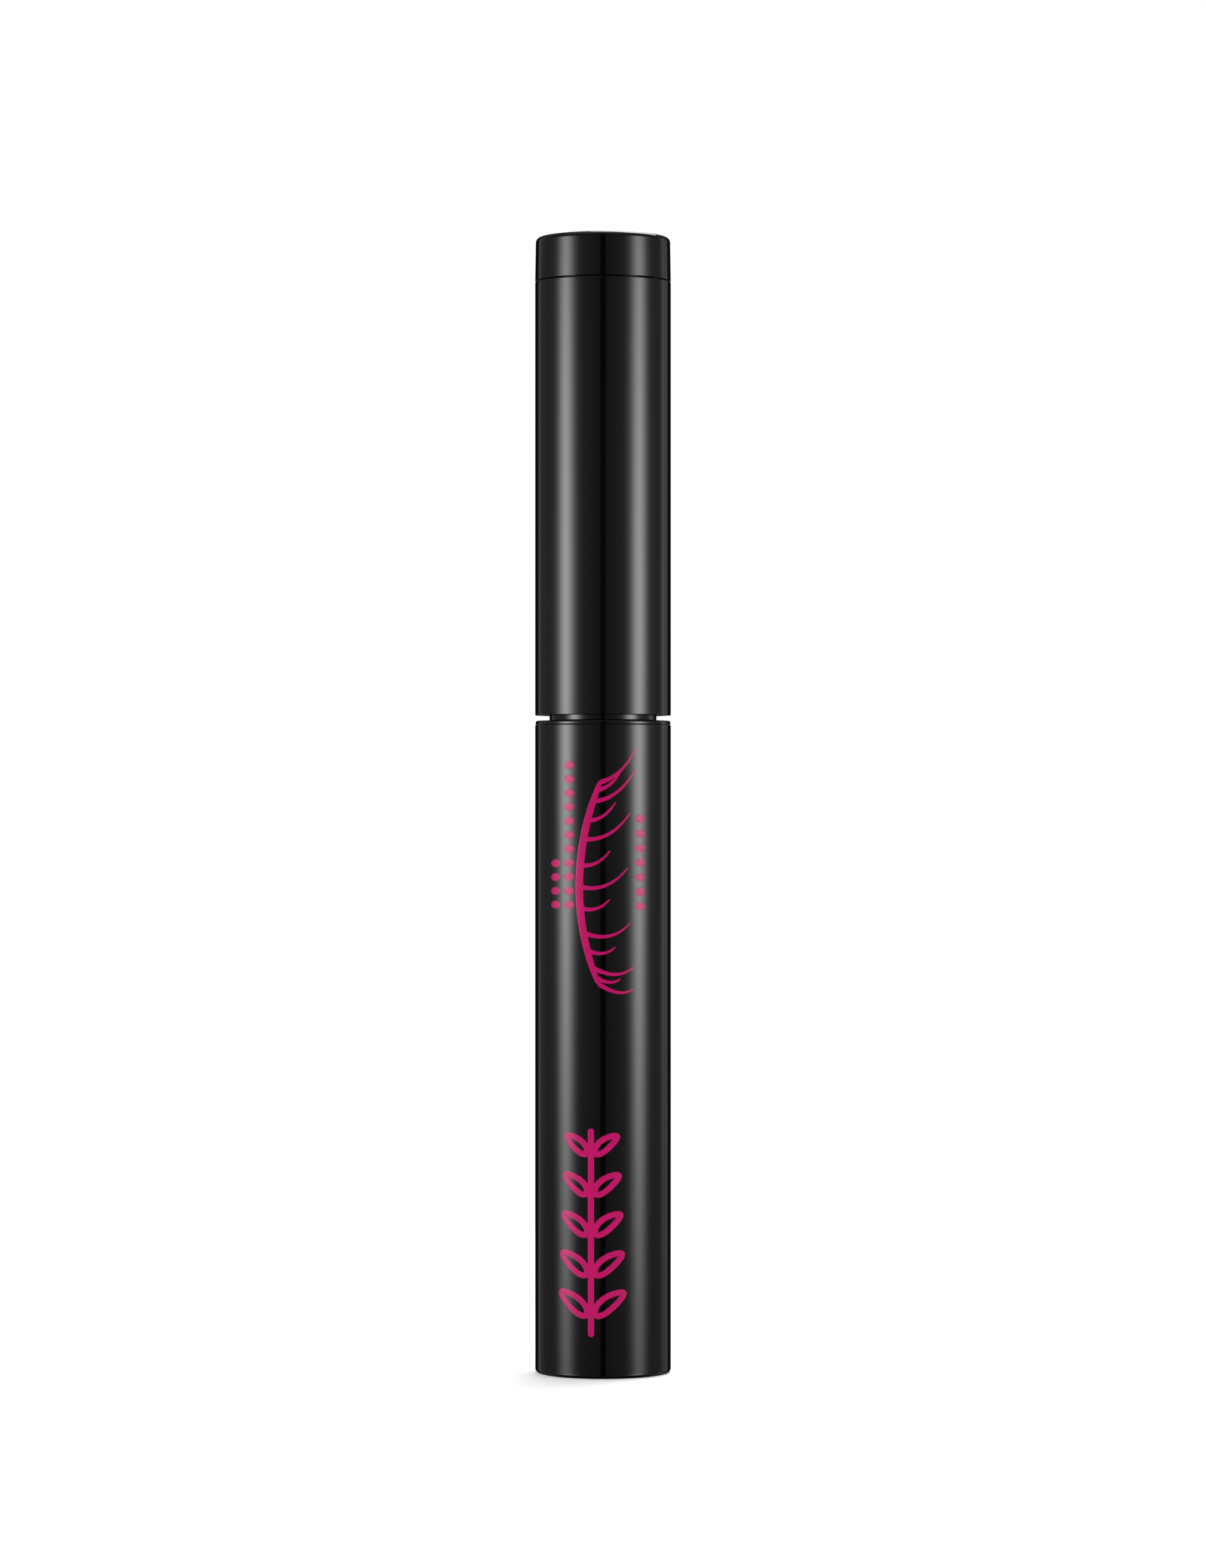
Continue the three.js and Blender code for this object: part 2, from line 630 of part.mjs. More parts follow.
// ---------------------------------------------------------------- motor
// Built with its closed end at height 0 and open at the top, where the end bell closes it.
function motorCan() {
  return revolve([
    [1.05, 0],
    [MOTOR_R - 0.3, 0],
    [MOTOR_R, 0.3],
    [MOTOR_R, MOTOR_LEN],
    [MOTOR_R - CAN_WALL, MOTOR_LEN],
    [MOTOR_R - CAN_WALL, CAN_WALL],
    [1.05, CAN_WALL],
  ], INNER_SIDES);
}

const magnetOutR = MOTOR_R - CAN_WALL - 0.05;
const magnetInR = magnetOutR - MAGNET_T;

function magnet() {
  const sweep = THREE.MathUtils.degToRad(62);
  const shape = new THREE.Shape();
  shape.absarc(0, 0, magnetOutR, -sweep, sweep, false);
  shape.absarc(0, 0, magnetInR, sweep, -sweep, true);
  return extrude(shape, MAGNET_LEN);
}

// Three T-shaped poles about the shaft.
function armature() {
  const outR = magnetInR - AIR_GAP;
  const tipHalf = THREE.MathUtils.degToRad(50);
  const neckHalf = 0.45;
  const points = [];
  for (let pole = 0; pole < 3; pole += 1) {
    const middle = (pole * 2 * Math.PI) / 3;
    const turned = (x, y) =>
      new THREE.Vector2(x, y).rotateAround(new THREE.Vector2(), middle);
    points.push(turned(1.0, -neckHalf), turned(outR - 0.55, -neckHalf));
    for (const share of [-1, -0.5, 0, 0.5, 1]) points.push(polar(outR, middle + share * tipHalf));
    points.push(turned(outR - 0.55, neckHalf), turned(1.0, neckHalf));
  }
  const shape = new THREE.Shape(points);
  shape.holes.push(circlePath(MOTOR_SHAFT_R + 0.03, 16));
  return extrude(shape, ARMATURE_LEN);
}

function endBell() {
  const body = ring(MOTOR_SHAFT_R + 0.15, MOTOR_R - CAN_WALL - 0.05, END_BELL_T, INNER_SIDES);
  const slots = [1, -1].map((side) =>
    box(TERMINAL_W + 0.2, TERMINAL_T + 0.2, 4).translate(0, side * TERMINAL_Y, 0),
  );
  return cut(body, ...slots);
}

// A stamped terminal: a blade through the end bell, and a finger that leans on the commutator.
function motorTerminal(side) {
  const blade = box(TERMINAL_W, TERMINAL_T, END_BELL_T + 2.6).translate(0, TERMINAL_Y, -0.55);
  const foot = boxBetween(
    [-TERMINAL_W / 2, COMMUTATOR_R + 0.1, -END_BELL_T / 2 - 1.85],
    [TERMINAL_W / 2, TERMINAL_Y, -END_BELL_T / 2 - 1.55],
  );
  return join(blade, foot).rotateZ(side > 0 ? 0 : Math.PI);
}

// Two rings, the outer one built to the sleeve, joined by four ribs.
function motorMount() {
  const seat = ring(MOTOR_R + 0.1, MOTOR_R + 0.8, MOTOR_LEN, INNER_SIDES);
  const rim = ring(holderR - 0.7, holderR, MOTOR_LEN, INNER_SIDES);
  const ribLen = holderR - MOTOR_R - 0.7;
  const ribs = [0, 1, 2, 3].map((i) =>
    boxBetween([MOTOR_R + 0.45, -MOTOR_SPOKE / 2, 0], [MOTOR_R + 0.45 + ribLen, MOTOR_SPOKE / 2, MOTOR_LEN])
      .rotateZ(Math.PI / 4 + (i * Math.PI) / 2),
  );
  return join(seat, rim, ...ribs);
}

// ---------------------------------------------------------------- cells, holder and contacts
function cell() {
  return revolve([
    [0, 0],
    [CELL_R - 0.2, 0],
    [CELL_R, 0.2],
    [CELL_R, CELL_H - CELL_RIM],
    [CELL_R - CELL_RIM, CELL_H - CELL_RIM + 0.2],
    [CELL_R - CELL_RIM, CELL_H],
    [0, CELL_H],
  ], INNER_SIDES);
}

// A cup for the cells, flat on the button's side, with a window for the switch board, a slot for the
// strip to the motor, and a slot for the return strip. Built with its underside at height 0.
function batteryHolder() {
  const height = holderTopZ - holderZ;
  const cup = revolve([
    [0, 0],
    [holderR, 0],
    [holderR, height],
    [pocketR, height],
    [pocketR, HOLDER_FLOOR],
    [0, HOLDER_FLOOR],
  ], INNER_SIDES);
  const flat = boxBetween([-holderR, flatY, -1], [holderR, holderR + 1, height + 1]);
  const windowHalf = BOARD_W / 2 + 0.2;
  const window = boxBetween([-windowHalf, 0, HOLDER_FLOOR], [windowHalf, flatY + 1, height + 1]);
  const motorSlot = boxBetween([1.3, stripY - 0.15, -1], [2.7, flatY + 1, HOLDER_FLOOR + 1]);
  const halfReturn = STRIP_W / 2 + STRIP_GAP;
  const returnSlot = boxBetween(
    [-halfReturn, -returnY - STRIP_GAP, -1],
    [halfReturn, -returnY + STRIP_T + STRIP_GAP, height + 1],
  );
  return cut(cup, flat, window, motorSlot, returnSlot);
}

// Under the cells: a disc with an arm that turns up in front of the switch board.
function cellContact() {
  const armTop = buttonZ - BOARD_LEN / 2 + 0.8 - contactZ;
  return join(
    disc(CELL_R - 0.5, CONTACT_T, SMALL_SIDES),
    boxBetween([-0.8, 0, 0], [0.8, stripY + STRIP_T, CONTACT_T]),
    boxBetween([-0.8, stripY, 0], [0.8, stripY + STRIP_T, armTop]),
  );
}

// From the switch board down through the holder's floor to the motor's terminal on that side.
function motorStrip() {
  const top = buttonZ - BOARD_LEN / 2 + 0.8;
  const footZ = motorTopZ + 0.6;
  return join(
    boxBetween([1.5, stripY, footZ], [2.5, stripY + STRIP_T, top]),
    boxBetween([-0.5, TERMINAL_Y + TERMINAL_T / 2 + 0.1, footZ], [2.5, stripY + STRIP_T, footZ + STRIP_T]),
  );
}

// From the end cap's contact down the far side of the holder to the motor's other terminal.
function returnStrip() {
  const footZ = motorTopZ + 0.6;
  const half = STRIP_W / 2;
  const innerY = -TERMINAL_Y - TERMINAL_T / 2 - 0.1;
  return join(
    boxBetween([-half, -returnY, footZ], [half, -returnY + STRIP_T, endContactZ - 0.3]),
    boxBetween([-half, -returnY, footZ], [half, innerY, footZ + STRIP_T]),
  );
}

// Conical coil with a closed end turn at each end.
class CoilCurve extends THREE.Curve {
  getPoint(t) {
    const climb = THREE.MathUtils.clamp((t - 0.12) / 0.76, 0, 1);
    const radius = THREE.MathUtils.lerp(1.5, 2.6, t);
    const angle = t * SPRING_TURNS * 2 * Math.PI;
    const low = SPRING_WIRE_R + 0.08;
    const z = THREE.MathUtils.lerp(low, SPRING_H - low, climb);
    return new THREE.Vector3(radius * Math.cos(angle), radius * Math.sin(angle), z);
  }
}

function contactSpring() {
  const section = new THREE.Shape(circlePath(SPRING_WIRE_R, 6).getPoints());
  return new THREE.ExtrudeGeometry(section, { steps: 42, extrudePath: new CoilCurve() });
}

// On the end cap's boss: a disc with an arm that turns down beside the return strip.
function endContact() {
  const armY = -returnY + STRIP_T + 0.1;
  return join(
    disc(BOSS_R - 0.2, STRIP_T, SMALL_SIDES),
    boxBetween([-0.8, armY, 0], [0.8, 0, STRIP_T]),
    boxBetween([-0.8, armY, -1.4], [0.8, armY + STRIP_T, STRIP_T]),
  );
}

// Built with its lower outside edge at height 0. The skirt plugs into the sleeve, and the boss
// carries the contact and the spring.
function endCap() {
  const roofZ = END_CAP_H - END_CAP_TOP;
  const skirtR = sleeveInR - PRESS_GAP;
  const skirtLow = skirtZ - seamZ - SEAM;
  const bossLow = bossZ - seamZ - SEAM;
  const hollowR = OUTER_R - END_CAP_WALL;
  return revolve([
    [0, bossLow],
    [BOSS_R, bossLow],
    [BOSS_R, roofZ],
    [hollowR - SKIRT_WALL, roofZ],
    [skirtR - SKIRT_WALL, skirtLow],
    [skirtR - 0.15, skirtLow],
    [skirtR, skirtLow + 0.2],
    [skirtR, 0],
    [OUTER_R - 0.1, 0],
    [OUTER_R, 0.1],
    ...arc(OUTER_R - EDGE_ROUND, END_CAP_H - EDGE_ROUND, EDGE_ROUND, 0, 90),
    [0, END_CAP_H],
  ]);
}

// ---------------------------------------------------------------- switch and button
// These are built about Z and stand in a group that is turned so that their Z is the part's +Y.
function switchBase() {
  const well = disc(SWITCH_WELL_R, SWITCH_T, SMALL_SIDES).translate(0, 0, 0.1);
  return cut(box(SWITCH_W, SWITCH_W, SWITCH_T).translate(0, 0, SWITCH_T / 2), well);
}

function button() {
  const flangeLow = buttonFlangeY - buttonInY;
  const flangeTop = flangeLow + BUTTON_FLANGE_T;
  const top = dishY + BUTTON_H - buttonInY;
  return revolve([
    [0, 0],
    [PLUNGER_R - 0.1, 0],
    [PLUNGER_R - 0.1, flangeLow],
    [BUTTON_R + BUTTON_FLANGE_LIP, flangeLow],
    [BUTTON_R + BUTTON_FLANGE_LIP, flangeTop],
    [BUTTON_R, flangeTop],
    ...arc(BUTTON_R - 0.35, top - 0.35, 0.35, 0, 90, 3),
    [BUTTON_R * 0.55, top - 0.08],
    [0, top - 0.12],
  ], SMALL_SIDES);
}

// ---------------------------------------------------------------- assembly
const plungerLow = plungerY - SWITCH_T - PLUNGER_PROUD + 0.1 + BUTTON_TRAVEL + 0.05;

const bottle = group(
  part("bottle_shell", bottleShell(), glossBlack),
  part("vial", vial(), glossBlack, vialZ),
  part("wiper", wiper(), wiperNatural, mouthZ),
);

const gasketRing = ring(gasketInR, gasketOutR, GASKET_T, INNER_SIDES);
const gasket = part("gasket", gasketRing, sealRubber, gasketZ);

const bushZ = stemTipZ + 0.6 + SEAL_T + 0.2;
const shaftTopZ = carrierOutZ - 0.1;
const stemGroup = group(
  part("stem", stem(), hotPink, stemTipZ),
  part("stem_bush", ring(SHAFT_R + 0.05, STEM_BORE_R - 0.05, BUSH_LEN, 16), brass, bushZ),
  part("shaft_seal", ring(SHAFT_R + 0.02, STEM_BORE_R - 0.03, SEAL_T, 16), sealRubber, stemTipZ + 0.6),
  part("drive_shaft", disc(SHAFT_R, shaftTopZ - shaftBottomZ, 16), steel, shaftBottomZ),
  part("brush_hub", brushHub(), brushBlack, hubBottomZ),
  part("brush_head", brushHead(), brushBlack, brushTipZ),
);

const planetGap = CARRIER_T + RUN_GAP / 2;
const sunInZ = carrierInZ + planetGap + 0.05;
const gearbox = group(
  part("gearbox_base", gearboxPlate(CARRIER_HUB_R + 0.1), frameGrey, gearboxZ),
  part("output_carrier", outputCarrier(), gearWhite, carrierOutZ),
  planets("output", carrierOutZ + planetGap),
  part("input_carrier", inputCarrier(), gearWhite, carrierInZ),
  planets("input", carrierInZ + planetGap),
  part("sun_gear", externalGear(SUN_TEETH, MOTOR_SHAFT_R + 0.03), brass, sunInZ),
  part("ring_gear", ringGear(), gearWhite, gearboxZ + GEARBOX_PLATE_T + 0.05),
  part("gearbox_lid", gearboxPlate(sunTipR + 0.2), frameGrey, gearboxLidZ),
);

const armatureZ = motorZ + CAN_WALL + 1.2;
const endBellZ = motorTopZ - END_BELL_T;
const motorShaftLow = sunInZ + 0.1;
const commutatorZ = armatureZ + ARMATURE_LEN + 0.3;
const magnetTurn = { left: Math.PI, right: 0 };
const motor = group(
  part("motor_can", motorCan(), steel, motorZ),
  part("motor_bush", ring(MOTOR_SHAFT_R + 0.05, 1.0, 1.0, 16), brass, motorZ),
  Object.entries(magnetTurn).map(([side, turn]) =>
    part(`magnet_${side}`, magnet().rotateZ(turn), magnetGrey, motorZ + CAN_WALL + 0.5),
  ),
  part("armature", armature(), copper, armatureZ),
  part("commutator", ring(MOTOR_SHAFT_R + 0.03, COMMUTATOR_R, COMMUTATOR_LEN, 16), copper, commutatorZ),
  part("motor_shaft", disc(MOTOR_SHAFT_R, motorTopZ - 0.2 - motorShaftLow, 16), steel, motorShaftLow),
  part("end_bell", endBell(), frameGrey, endBellZ),
  part("terminal_front", motorTerminal(-1), brass, endBellZ + END_BELL_T / 2),
  part("terminal_back", motorTerminal(1), brass, endBellZ + END_BELL_T / 2),
  part("motor_mount", motorMount(), frameGrey, motorZ),
);

const power = group(
  part("battery_holder", batteryHolder(), frameGrey, holderZ),
  part("cell_contact", cellContact(), steel, contactZ),
  part("cell_lower", cell(), steel, cellZ),
  part("cell_upper", cell(), steel, cellZ + cellPitch),
  part("motor_strip", motorStrip(), steel),
  part("return_strip", returnStrip(), steel),
);

const switchGroup = group(
  part("switch_board", box(BOARD_W, BOARD_LEN, BOARD_T), boardGreen, boardY + BOARD_T / 2),
  part("switch_base", switchBase(), innerBlack, switchY),
  part("switch_plunger", disc(PLUNGER_R, plungerY - plungerLow, SMALL_SIDES), wiperNatural, plungerLow),
  part("button", button(), hotPink, buttonInY),
);
switchGroup.position.z = buttonZ;
switchGroup.rotation.x = -Math.PI / 2;

const endCapGroup = group(
  part("end_cap", endCap(), glossBlack, seamZ + SEAM),
  part("end_contact", endContact(), steel, endContactZ),
  part("contact_spring", contactSpring(), steel, springZ),
);

const applicator = group(
  part("cap_sleeve", capSleeve(), glossBlack, capZ),
  part("inner_cap", innerCap(), innerBlack, innerCapZ),
  stemGroup,
  gearbox,
  motor,
  power,
  switchGroup,
  endCapGroup,
);

export default group(bottle, gasket, applicator);
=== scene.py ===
"""Looks of a battery-driven rotating mascara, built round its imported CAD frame.

Lengths are in metres. The tube stands on z = 0 along the Z axis, its print looks towards -Y and its
push button towards +Y. Every shape is a surface worked out as whole arrays: a profile turned about
the axis, a section carried along a path, or a radius or a depth over a grid.
"""

import math

import bmesh
import bpy
import numpy as np
from bpy.props import FloatProperty, FloatVectorProperty, IntProperty, PointerProperty
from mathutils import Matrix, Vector


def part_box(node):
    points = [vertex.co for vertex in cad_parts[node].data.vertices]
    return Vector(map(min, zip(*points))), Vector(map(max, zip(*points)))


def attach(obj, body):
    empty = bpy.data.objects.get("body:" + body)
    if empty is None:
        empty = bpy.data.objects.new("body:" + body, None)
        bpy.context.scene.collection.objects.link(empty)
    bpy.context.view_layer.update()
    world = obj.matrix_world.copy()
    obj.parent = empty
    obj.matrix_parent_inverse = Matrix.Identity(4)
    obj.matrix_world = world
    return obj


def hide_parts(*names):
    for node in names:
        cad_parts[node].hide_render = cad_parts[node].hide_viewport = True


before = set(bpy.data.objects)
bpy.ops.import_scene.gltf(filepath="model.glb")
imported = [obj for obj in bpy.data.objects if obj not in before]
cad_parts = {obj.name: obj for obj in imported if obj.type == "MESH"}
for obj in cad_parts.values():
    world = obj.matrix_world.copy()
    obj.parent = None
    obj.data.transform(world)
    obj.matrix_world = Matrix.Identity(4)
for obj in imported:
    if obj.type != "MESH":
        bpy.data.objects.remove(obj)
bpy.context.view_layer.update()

bl_info = {
    "name": "Rotating mascara",
    "version": (1, 0, 0),
    "blender": (4, 5, 0),
    "location": "3D View > Sidebar > Mascara",
    "description": "Builds the shells, applicator, print and studio of a rotating mascara",
    "category": "Object",
}

MM = 0.001


# ------------------------------------------------------------------ places read from the frame
def extent(node, axis=2):
    """The node's lowest and highest place along an axis. 0, 1 and 2 stand for X, Y and Z."""
    low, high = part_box(node)
    return low[axis], high[axis]


def half_width(node):
    """The outside radius of a node that is round about the Z axis."""
    return extent(node, 0)[1]


def radii(node, low, high):
    """Smallest and largest distance from the Z axis of a node's corners between two heights."""
    points = np.zeros(len(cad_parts[node].data.vertices) * 3)
    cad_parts[node].data.vertices.foreach_get("co", points)
    points = points.reshape(-1, 3)
    inside = (points[:, 2] > low) & (points[:, 2] < high)
    distance = np.hypot(points[inside, 0], points[inside, 1])
    return distance.min(), distance.max()


def radii_at(node, height):
    """Smallest and largest distance from the Z axis of a node's corners close to one height."""
    return radii(node, height - 0.1 * MM, height + 0.1 * MM)


OUTER_R = half_width("bottle_shell")
SHELL_TOP = extent("bottle_shell")[1]
VIAL_LOW, MOUTH_Z = extent("vial")
CAP_LOW, SEAM_LOW = extent("cap_sleeve")
END_CAP_LOW, END_CAP_TOP = extent("end_cap")
BUTTON_Z = sum(extent("button")) / 2
BRUSH_TIP, BRUSH_TOP = extent("brush_head")

# Heights of the neck and sizes of its thread, which the vial and the inner cap share.
SHOULDER_Z = SHELL_TOP + 0.55 * MM
COLLAR_TOP = SHOULDER_Z + 2.6 * MM
THREAD_PITCH = 2.6 * MM
THREAD_TURNS = 1.5
THREAD_FOOT = 1.5 * MM


# ------------------------------------------------------------------ what a user may change
def length_choice(name, description, millimetres, precision=5):
    """A length that a user may change."""
    return FloatProperty(
        name=name, description=description, default=millimetres * MM, unit="LENGTH", precision=precision
    )


def count_choice(name, description, default, low, high):
    """A number of things that a user may change."""
    return IntProperty(name=name, description=description, default=default, min=low, max=high)


def colour_choice(name, description, red, green, blue):
    """A colour that a user may change."""
    default = (red, green, blue)
    return FloatVectorProperty(
        name=name, description=description, default=default, size=3, subtype="COLOR"
    )


class MascaraSizes(bpy.types.PropertyGroup):
    """Small sizes that finish the CAD shapes."""

    sides: count_choice("Sides", "Facets round a large shell", 160, 24, 256)
    foot_round: length_choice("Foot rounding", "Radius of the bottle's lower edge", 0.55)
    edge_round: length_choice("Edge rounding", "Radius of the shells' mating edges", 0.09)
    crown_round: length_choice("Crown rounding", "Radius of the end cap's upper edge", 0.62)
    end_cap_draft: length_choice("End cap draft", "How much narrower the end cap is at its top", 0.09)
    dish_round: length_choice("Dish rounding", "Radius of the soft edge round the finger dish", 0.75)
    ink_height: length_choice("Ink height", "Thickness of the printed ink", 0.012, 6)
    spikes_per_ring: count_choice("Spikes", "Spikes in each ring of the brush", 8, 4, 16)
    ring_step: length_choice("Ring step", "Distance between the brush's rings of spikes", 2.12)
    ring_tilt: FloatProperty(
        name="Ring tilt", description="Lean of each ring of spikes",
        default=math.radians(20), subtype="ANGLE",
    )


class MascaraFinishes(bpy.types.PropertyGroup):
    """Colours of the mouldings, the ink and the drive."""

    gloss_black: colour_choice("Gloss black", "Shells of the bottle and cap", 0.0007, 0.0006, 0.0007)
    ink_pink: colour_choice("Ink", "Print on the bottle", 0.36, 0.002, 0.088)
    neon_pink: colour_choice("Neon pink", "Stem and push button", 1.0, 0.0015, 0.33)
    natural: colour_choice("Natural", "Wiper and plunger", 0.72, 0.70, 0.64)
    steel: colour_choice("Steel", "Cells, coil and the drive's plated steel", 0.52, 0.53, 0.55)


# ------------------------------------------------------------------ surfaces
def grid_quads(rows, columns, wrap_rows=False):
    """Corner numbers of the quads between neighbouring rows and columns of a grid of points. The
    columns close in a ring, and the rows do so too when asked."""
    row = np.arange(rows if wrap_rows else rows - 1)
    row, column = np.meshgrid(row, np.arange(columns), indexing="ij")
    next_row, next_column = (row + 1) % rows, (column + 1) % columns
    corners = [
        row * columns + column,
        row * columns + next_column,
        next_row * columns + next_column,
        next_row * columns + column,
    ]
    return np.stack(corners, -1).reshape(-1, 4)


def make_piece(name, sheets, material, sharp_degrees=40):
    """One mesh object from (points, quads) sheets. Points that meet are merged, so seams and poles
    close, and edges that bend more than sharp_degrees stay crisp."""
    starts = np.cumsum([0] + [len(points) for points, _ in sheets[:-1]])
    points = np.concatenate([points for points, _ in sheets])
    quads = np.concatenate([quads + start for (_, quads), start in zip(sheets, starts)])
    mesh = bpy.data.meshes.new(name)
    mesh.from_pydata(points.tolist(), [], quads.tolist())
    work = bmesh.new()
    work.from_mesh(mesh)
    bmesh.ops.remove_doubles(work, verts=work.verts, dist=2e-7)
    bmesh.ops.dissolve_degenerate(work, edges=work.edges, dist=1e-8)
    work.to_mesh(mesh)
    work.free()
    mesh.polygons.foreach_set("use_smooth", [True] * len(mesh.polygons))
    mesh.set_sharp_from_angle(angle=math.radians(sharp_degrees))
    piece = bpy.data.objects.new(name, mesh)
    bpy.context.scene.collection.objects.link(piece)
    mesh.materials.append(material)
    return piece


def add_piece(name, sheets, finish, body, slot, *nodes, sharp_degrees=40):
    """Makes a piece and fixes it to its CAD body and the nodes that it stands for. slot is not used."""
    piece = make_piece(name, sheets, finish_of(finish), sharp_degrees)
    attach(piece, body)
    if nodes:
        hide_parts(*nodes)
    return piece


def rounded(corners, closed=False, steps=7):
    """A profile through (radius, height, rounding) corners. A corner with a rounding becomes an arc
    of that radius that is tangent to both sides, with one more point just before and after it, so
    that the flats beside it shade flat."""
    support = 0.03 * MM
    corners = np.array([(*corner, 0.0)[:3] for corner in corners])
    spots, rounding = corners[:, :2], corners[:, 2]
    profile = []
    for index, radius in enumerate(rounding):
        corner = spots[index]
        if radius == 0 or (not closed and index in (0, len(spots) - 1)):
            profile.append(corner[None])
            continue
        before, after = spots[index - 1] - corner, spots[(index + 1) % len(spots)] - corner
        reach = min(np.hypot(*before), np.hypot(*after)) * 0.49
        before, after = before / np.hypot(*before), after / np.hypot(*after)
        half = math.acos(np.clip(before @ after, -1, 1)) / 2
        radius = min(radius, reach * math.tan(half))
        run = radius / math.tan(half)
        centre = corner + (before + after) / np.hypot(*(before + after)) * radius / math.sin(half)
        start, end = corner + before * run - centre, corner + after * run - centre
        turn = math.atan2(start[0] * end[1] - start[1] * end[0], start @ end)
        angles = math.atan2(start[1], start[0]) + np.linspace(0, turn, steps)
        arc = centre + radius * np.stack([np.cos(angles), np.sin(angles)], -1)
        ease = min(support, reach - run)
        lead_in, lead_out = corner + before * (run + ease), corner + after * (run + ease)
        profile += [lead_in[None], arc, lead_out[None]]
    return np.concatenate(profile)


def turned(profile, sides, closed=False, shape=None):
    """A profile of (radius, height) rows turned about Z, and taken backwards if it runs clockwise, so
    that faces point outwards. shape(angle, radius, height) may change the radius, and gets arrays of
    one value for each row and column."""
    profile = np.asarray(profile)[:, :2]
    following = np.roll(profile, -1, 0)
    area = np.sum(profile[:, 0] * following[:, 1] - following[:, 0] * profile[:, 1])
    if area < 0:
        profile = profile[::-1]
    angle = np.linspace(0, 2 * math.pi, sides, endpoint=False)[None, :]
    radius, height = profile[:, :1], profile[:, 1:]
    if shape:
        radius = shape(angle, radius, height)
    grid = np.broadcast_arrays(radius * np.cos(angle), radius * np.sin(angle), height)
    return np.stack(grid, -1).reshape(-1, 3), grid_quads(len(profile), sides, wrap_rows=closed)


def swept(path, radius, sides, normal_hint=(0, 0, 1)):
    """A round bar of the given radius (one number, or one for each point) carried along a path. Each
    section lies across the path's direction, and both ends are closed to a point. normal_hint is a
    direction that the path never takes."""
    path = np.asarray(path, float)
    radius = np.broadcast_to(np.asarray(radius, float), len(path)).copy()
    path = np.concatenate([path[:1], path, path[-1:]])
    radius = np.concatenate([[0], radius, [0]])
    along = np.gradient(path, axis=0)
    along[0], along[-1] = along[1], along[-2]
    along /= np.linalg.norm(along, axis=1, keepdims=True)
    across = np.cross(np.asarray(normal_hint, float)[None], along)
    across /= np.linalg.norm(across, axis=1, keepdims=True)
    up = np.cross(along, across)
    angle = np.linspace(0, 2 * math.pi, sides, endpoint=False)[None, :, None]
    section = across[:, None] * np.cos(angle) + up[:, None] * np.sin(angle)
    points = path[:, None] + radius[:, None, None] * section
    return points.reshape(-1, 3), grid_quads(len(path), sides)


def about_button(sheet):
    """Turns a sheet built about Z so that its Z points along +Y at the button's height."""
    points, quads = sheet
    moved = np.stack([points[:, 0], points[:, 2], BUTTON_Z - points[:, 1]], -1)
    return moved, quads


def smooth_step(share):
    """The cubic step from 0 to 1, which starts and ends level."""
    return share * share * (3 - 2 * share)


def thread(wall_r, start, depth, crest):
    """A shape for turned that raises a screw thread on the wall of radius wall_r: along a helix that
    climbs one pitch a turn from start, a ridge that is THREAD_FOOT wide at the wall and crest wide at
    its top. It sinks into the wall over an eighth of a turn at both ends. A negative depth raises it
    inwards, from a bore."""

    def ridge(angle, radius, height):
        turn = angle / (2 * math.pi) + np.arange(math.ceil(THREAD_TURNS))[:, None, None]
        offset = np.abs(height[None] - start - THREAD_PITCH * turn)
        flank = np.clip((THREAD_FOOT - 2 * offset) / (THREAD_FOOT - crest), 0, 1)
        fade = np.clip(np.minimum(turn, THREAD_TURNS - turn) * 8, 0, 1)
        rise = depth * (smooth_step(flank) * smooth_step(fade)).max(0)
        return np.where(np.abs(radius - wall_r) < 1e-9, radius + rise, radius)

    return ridge


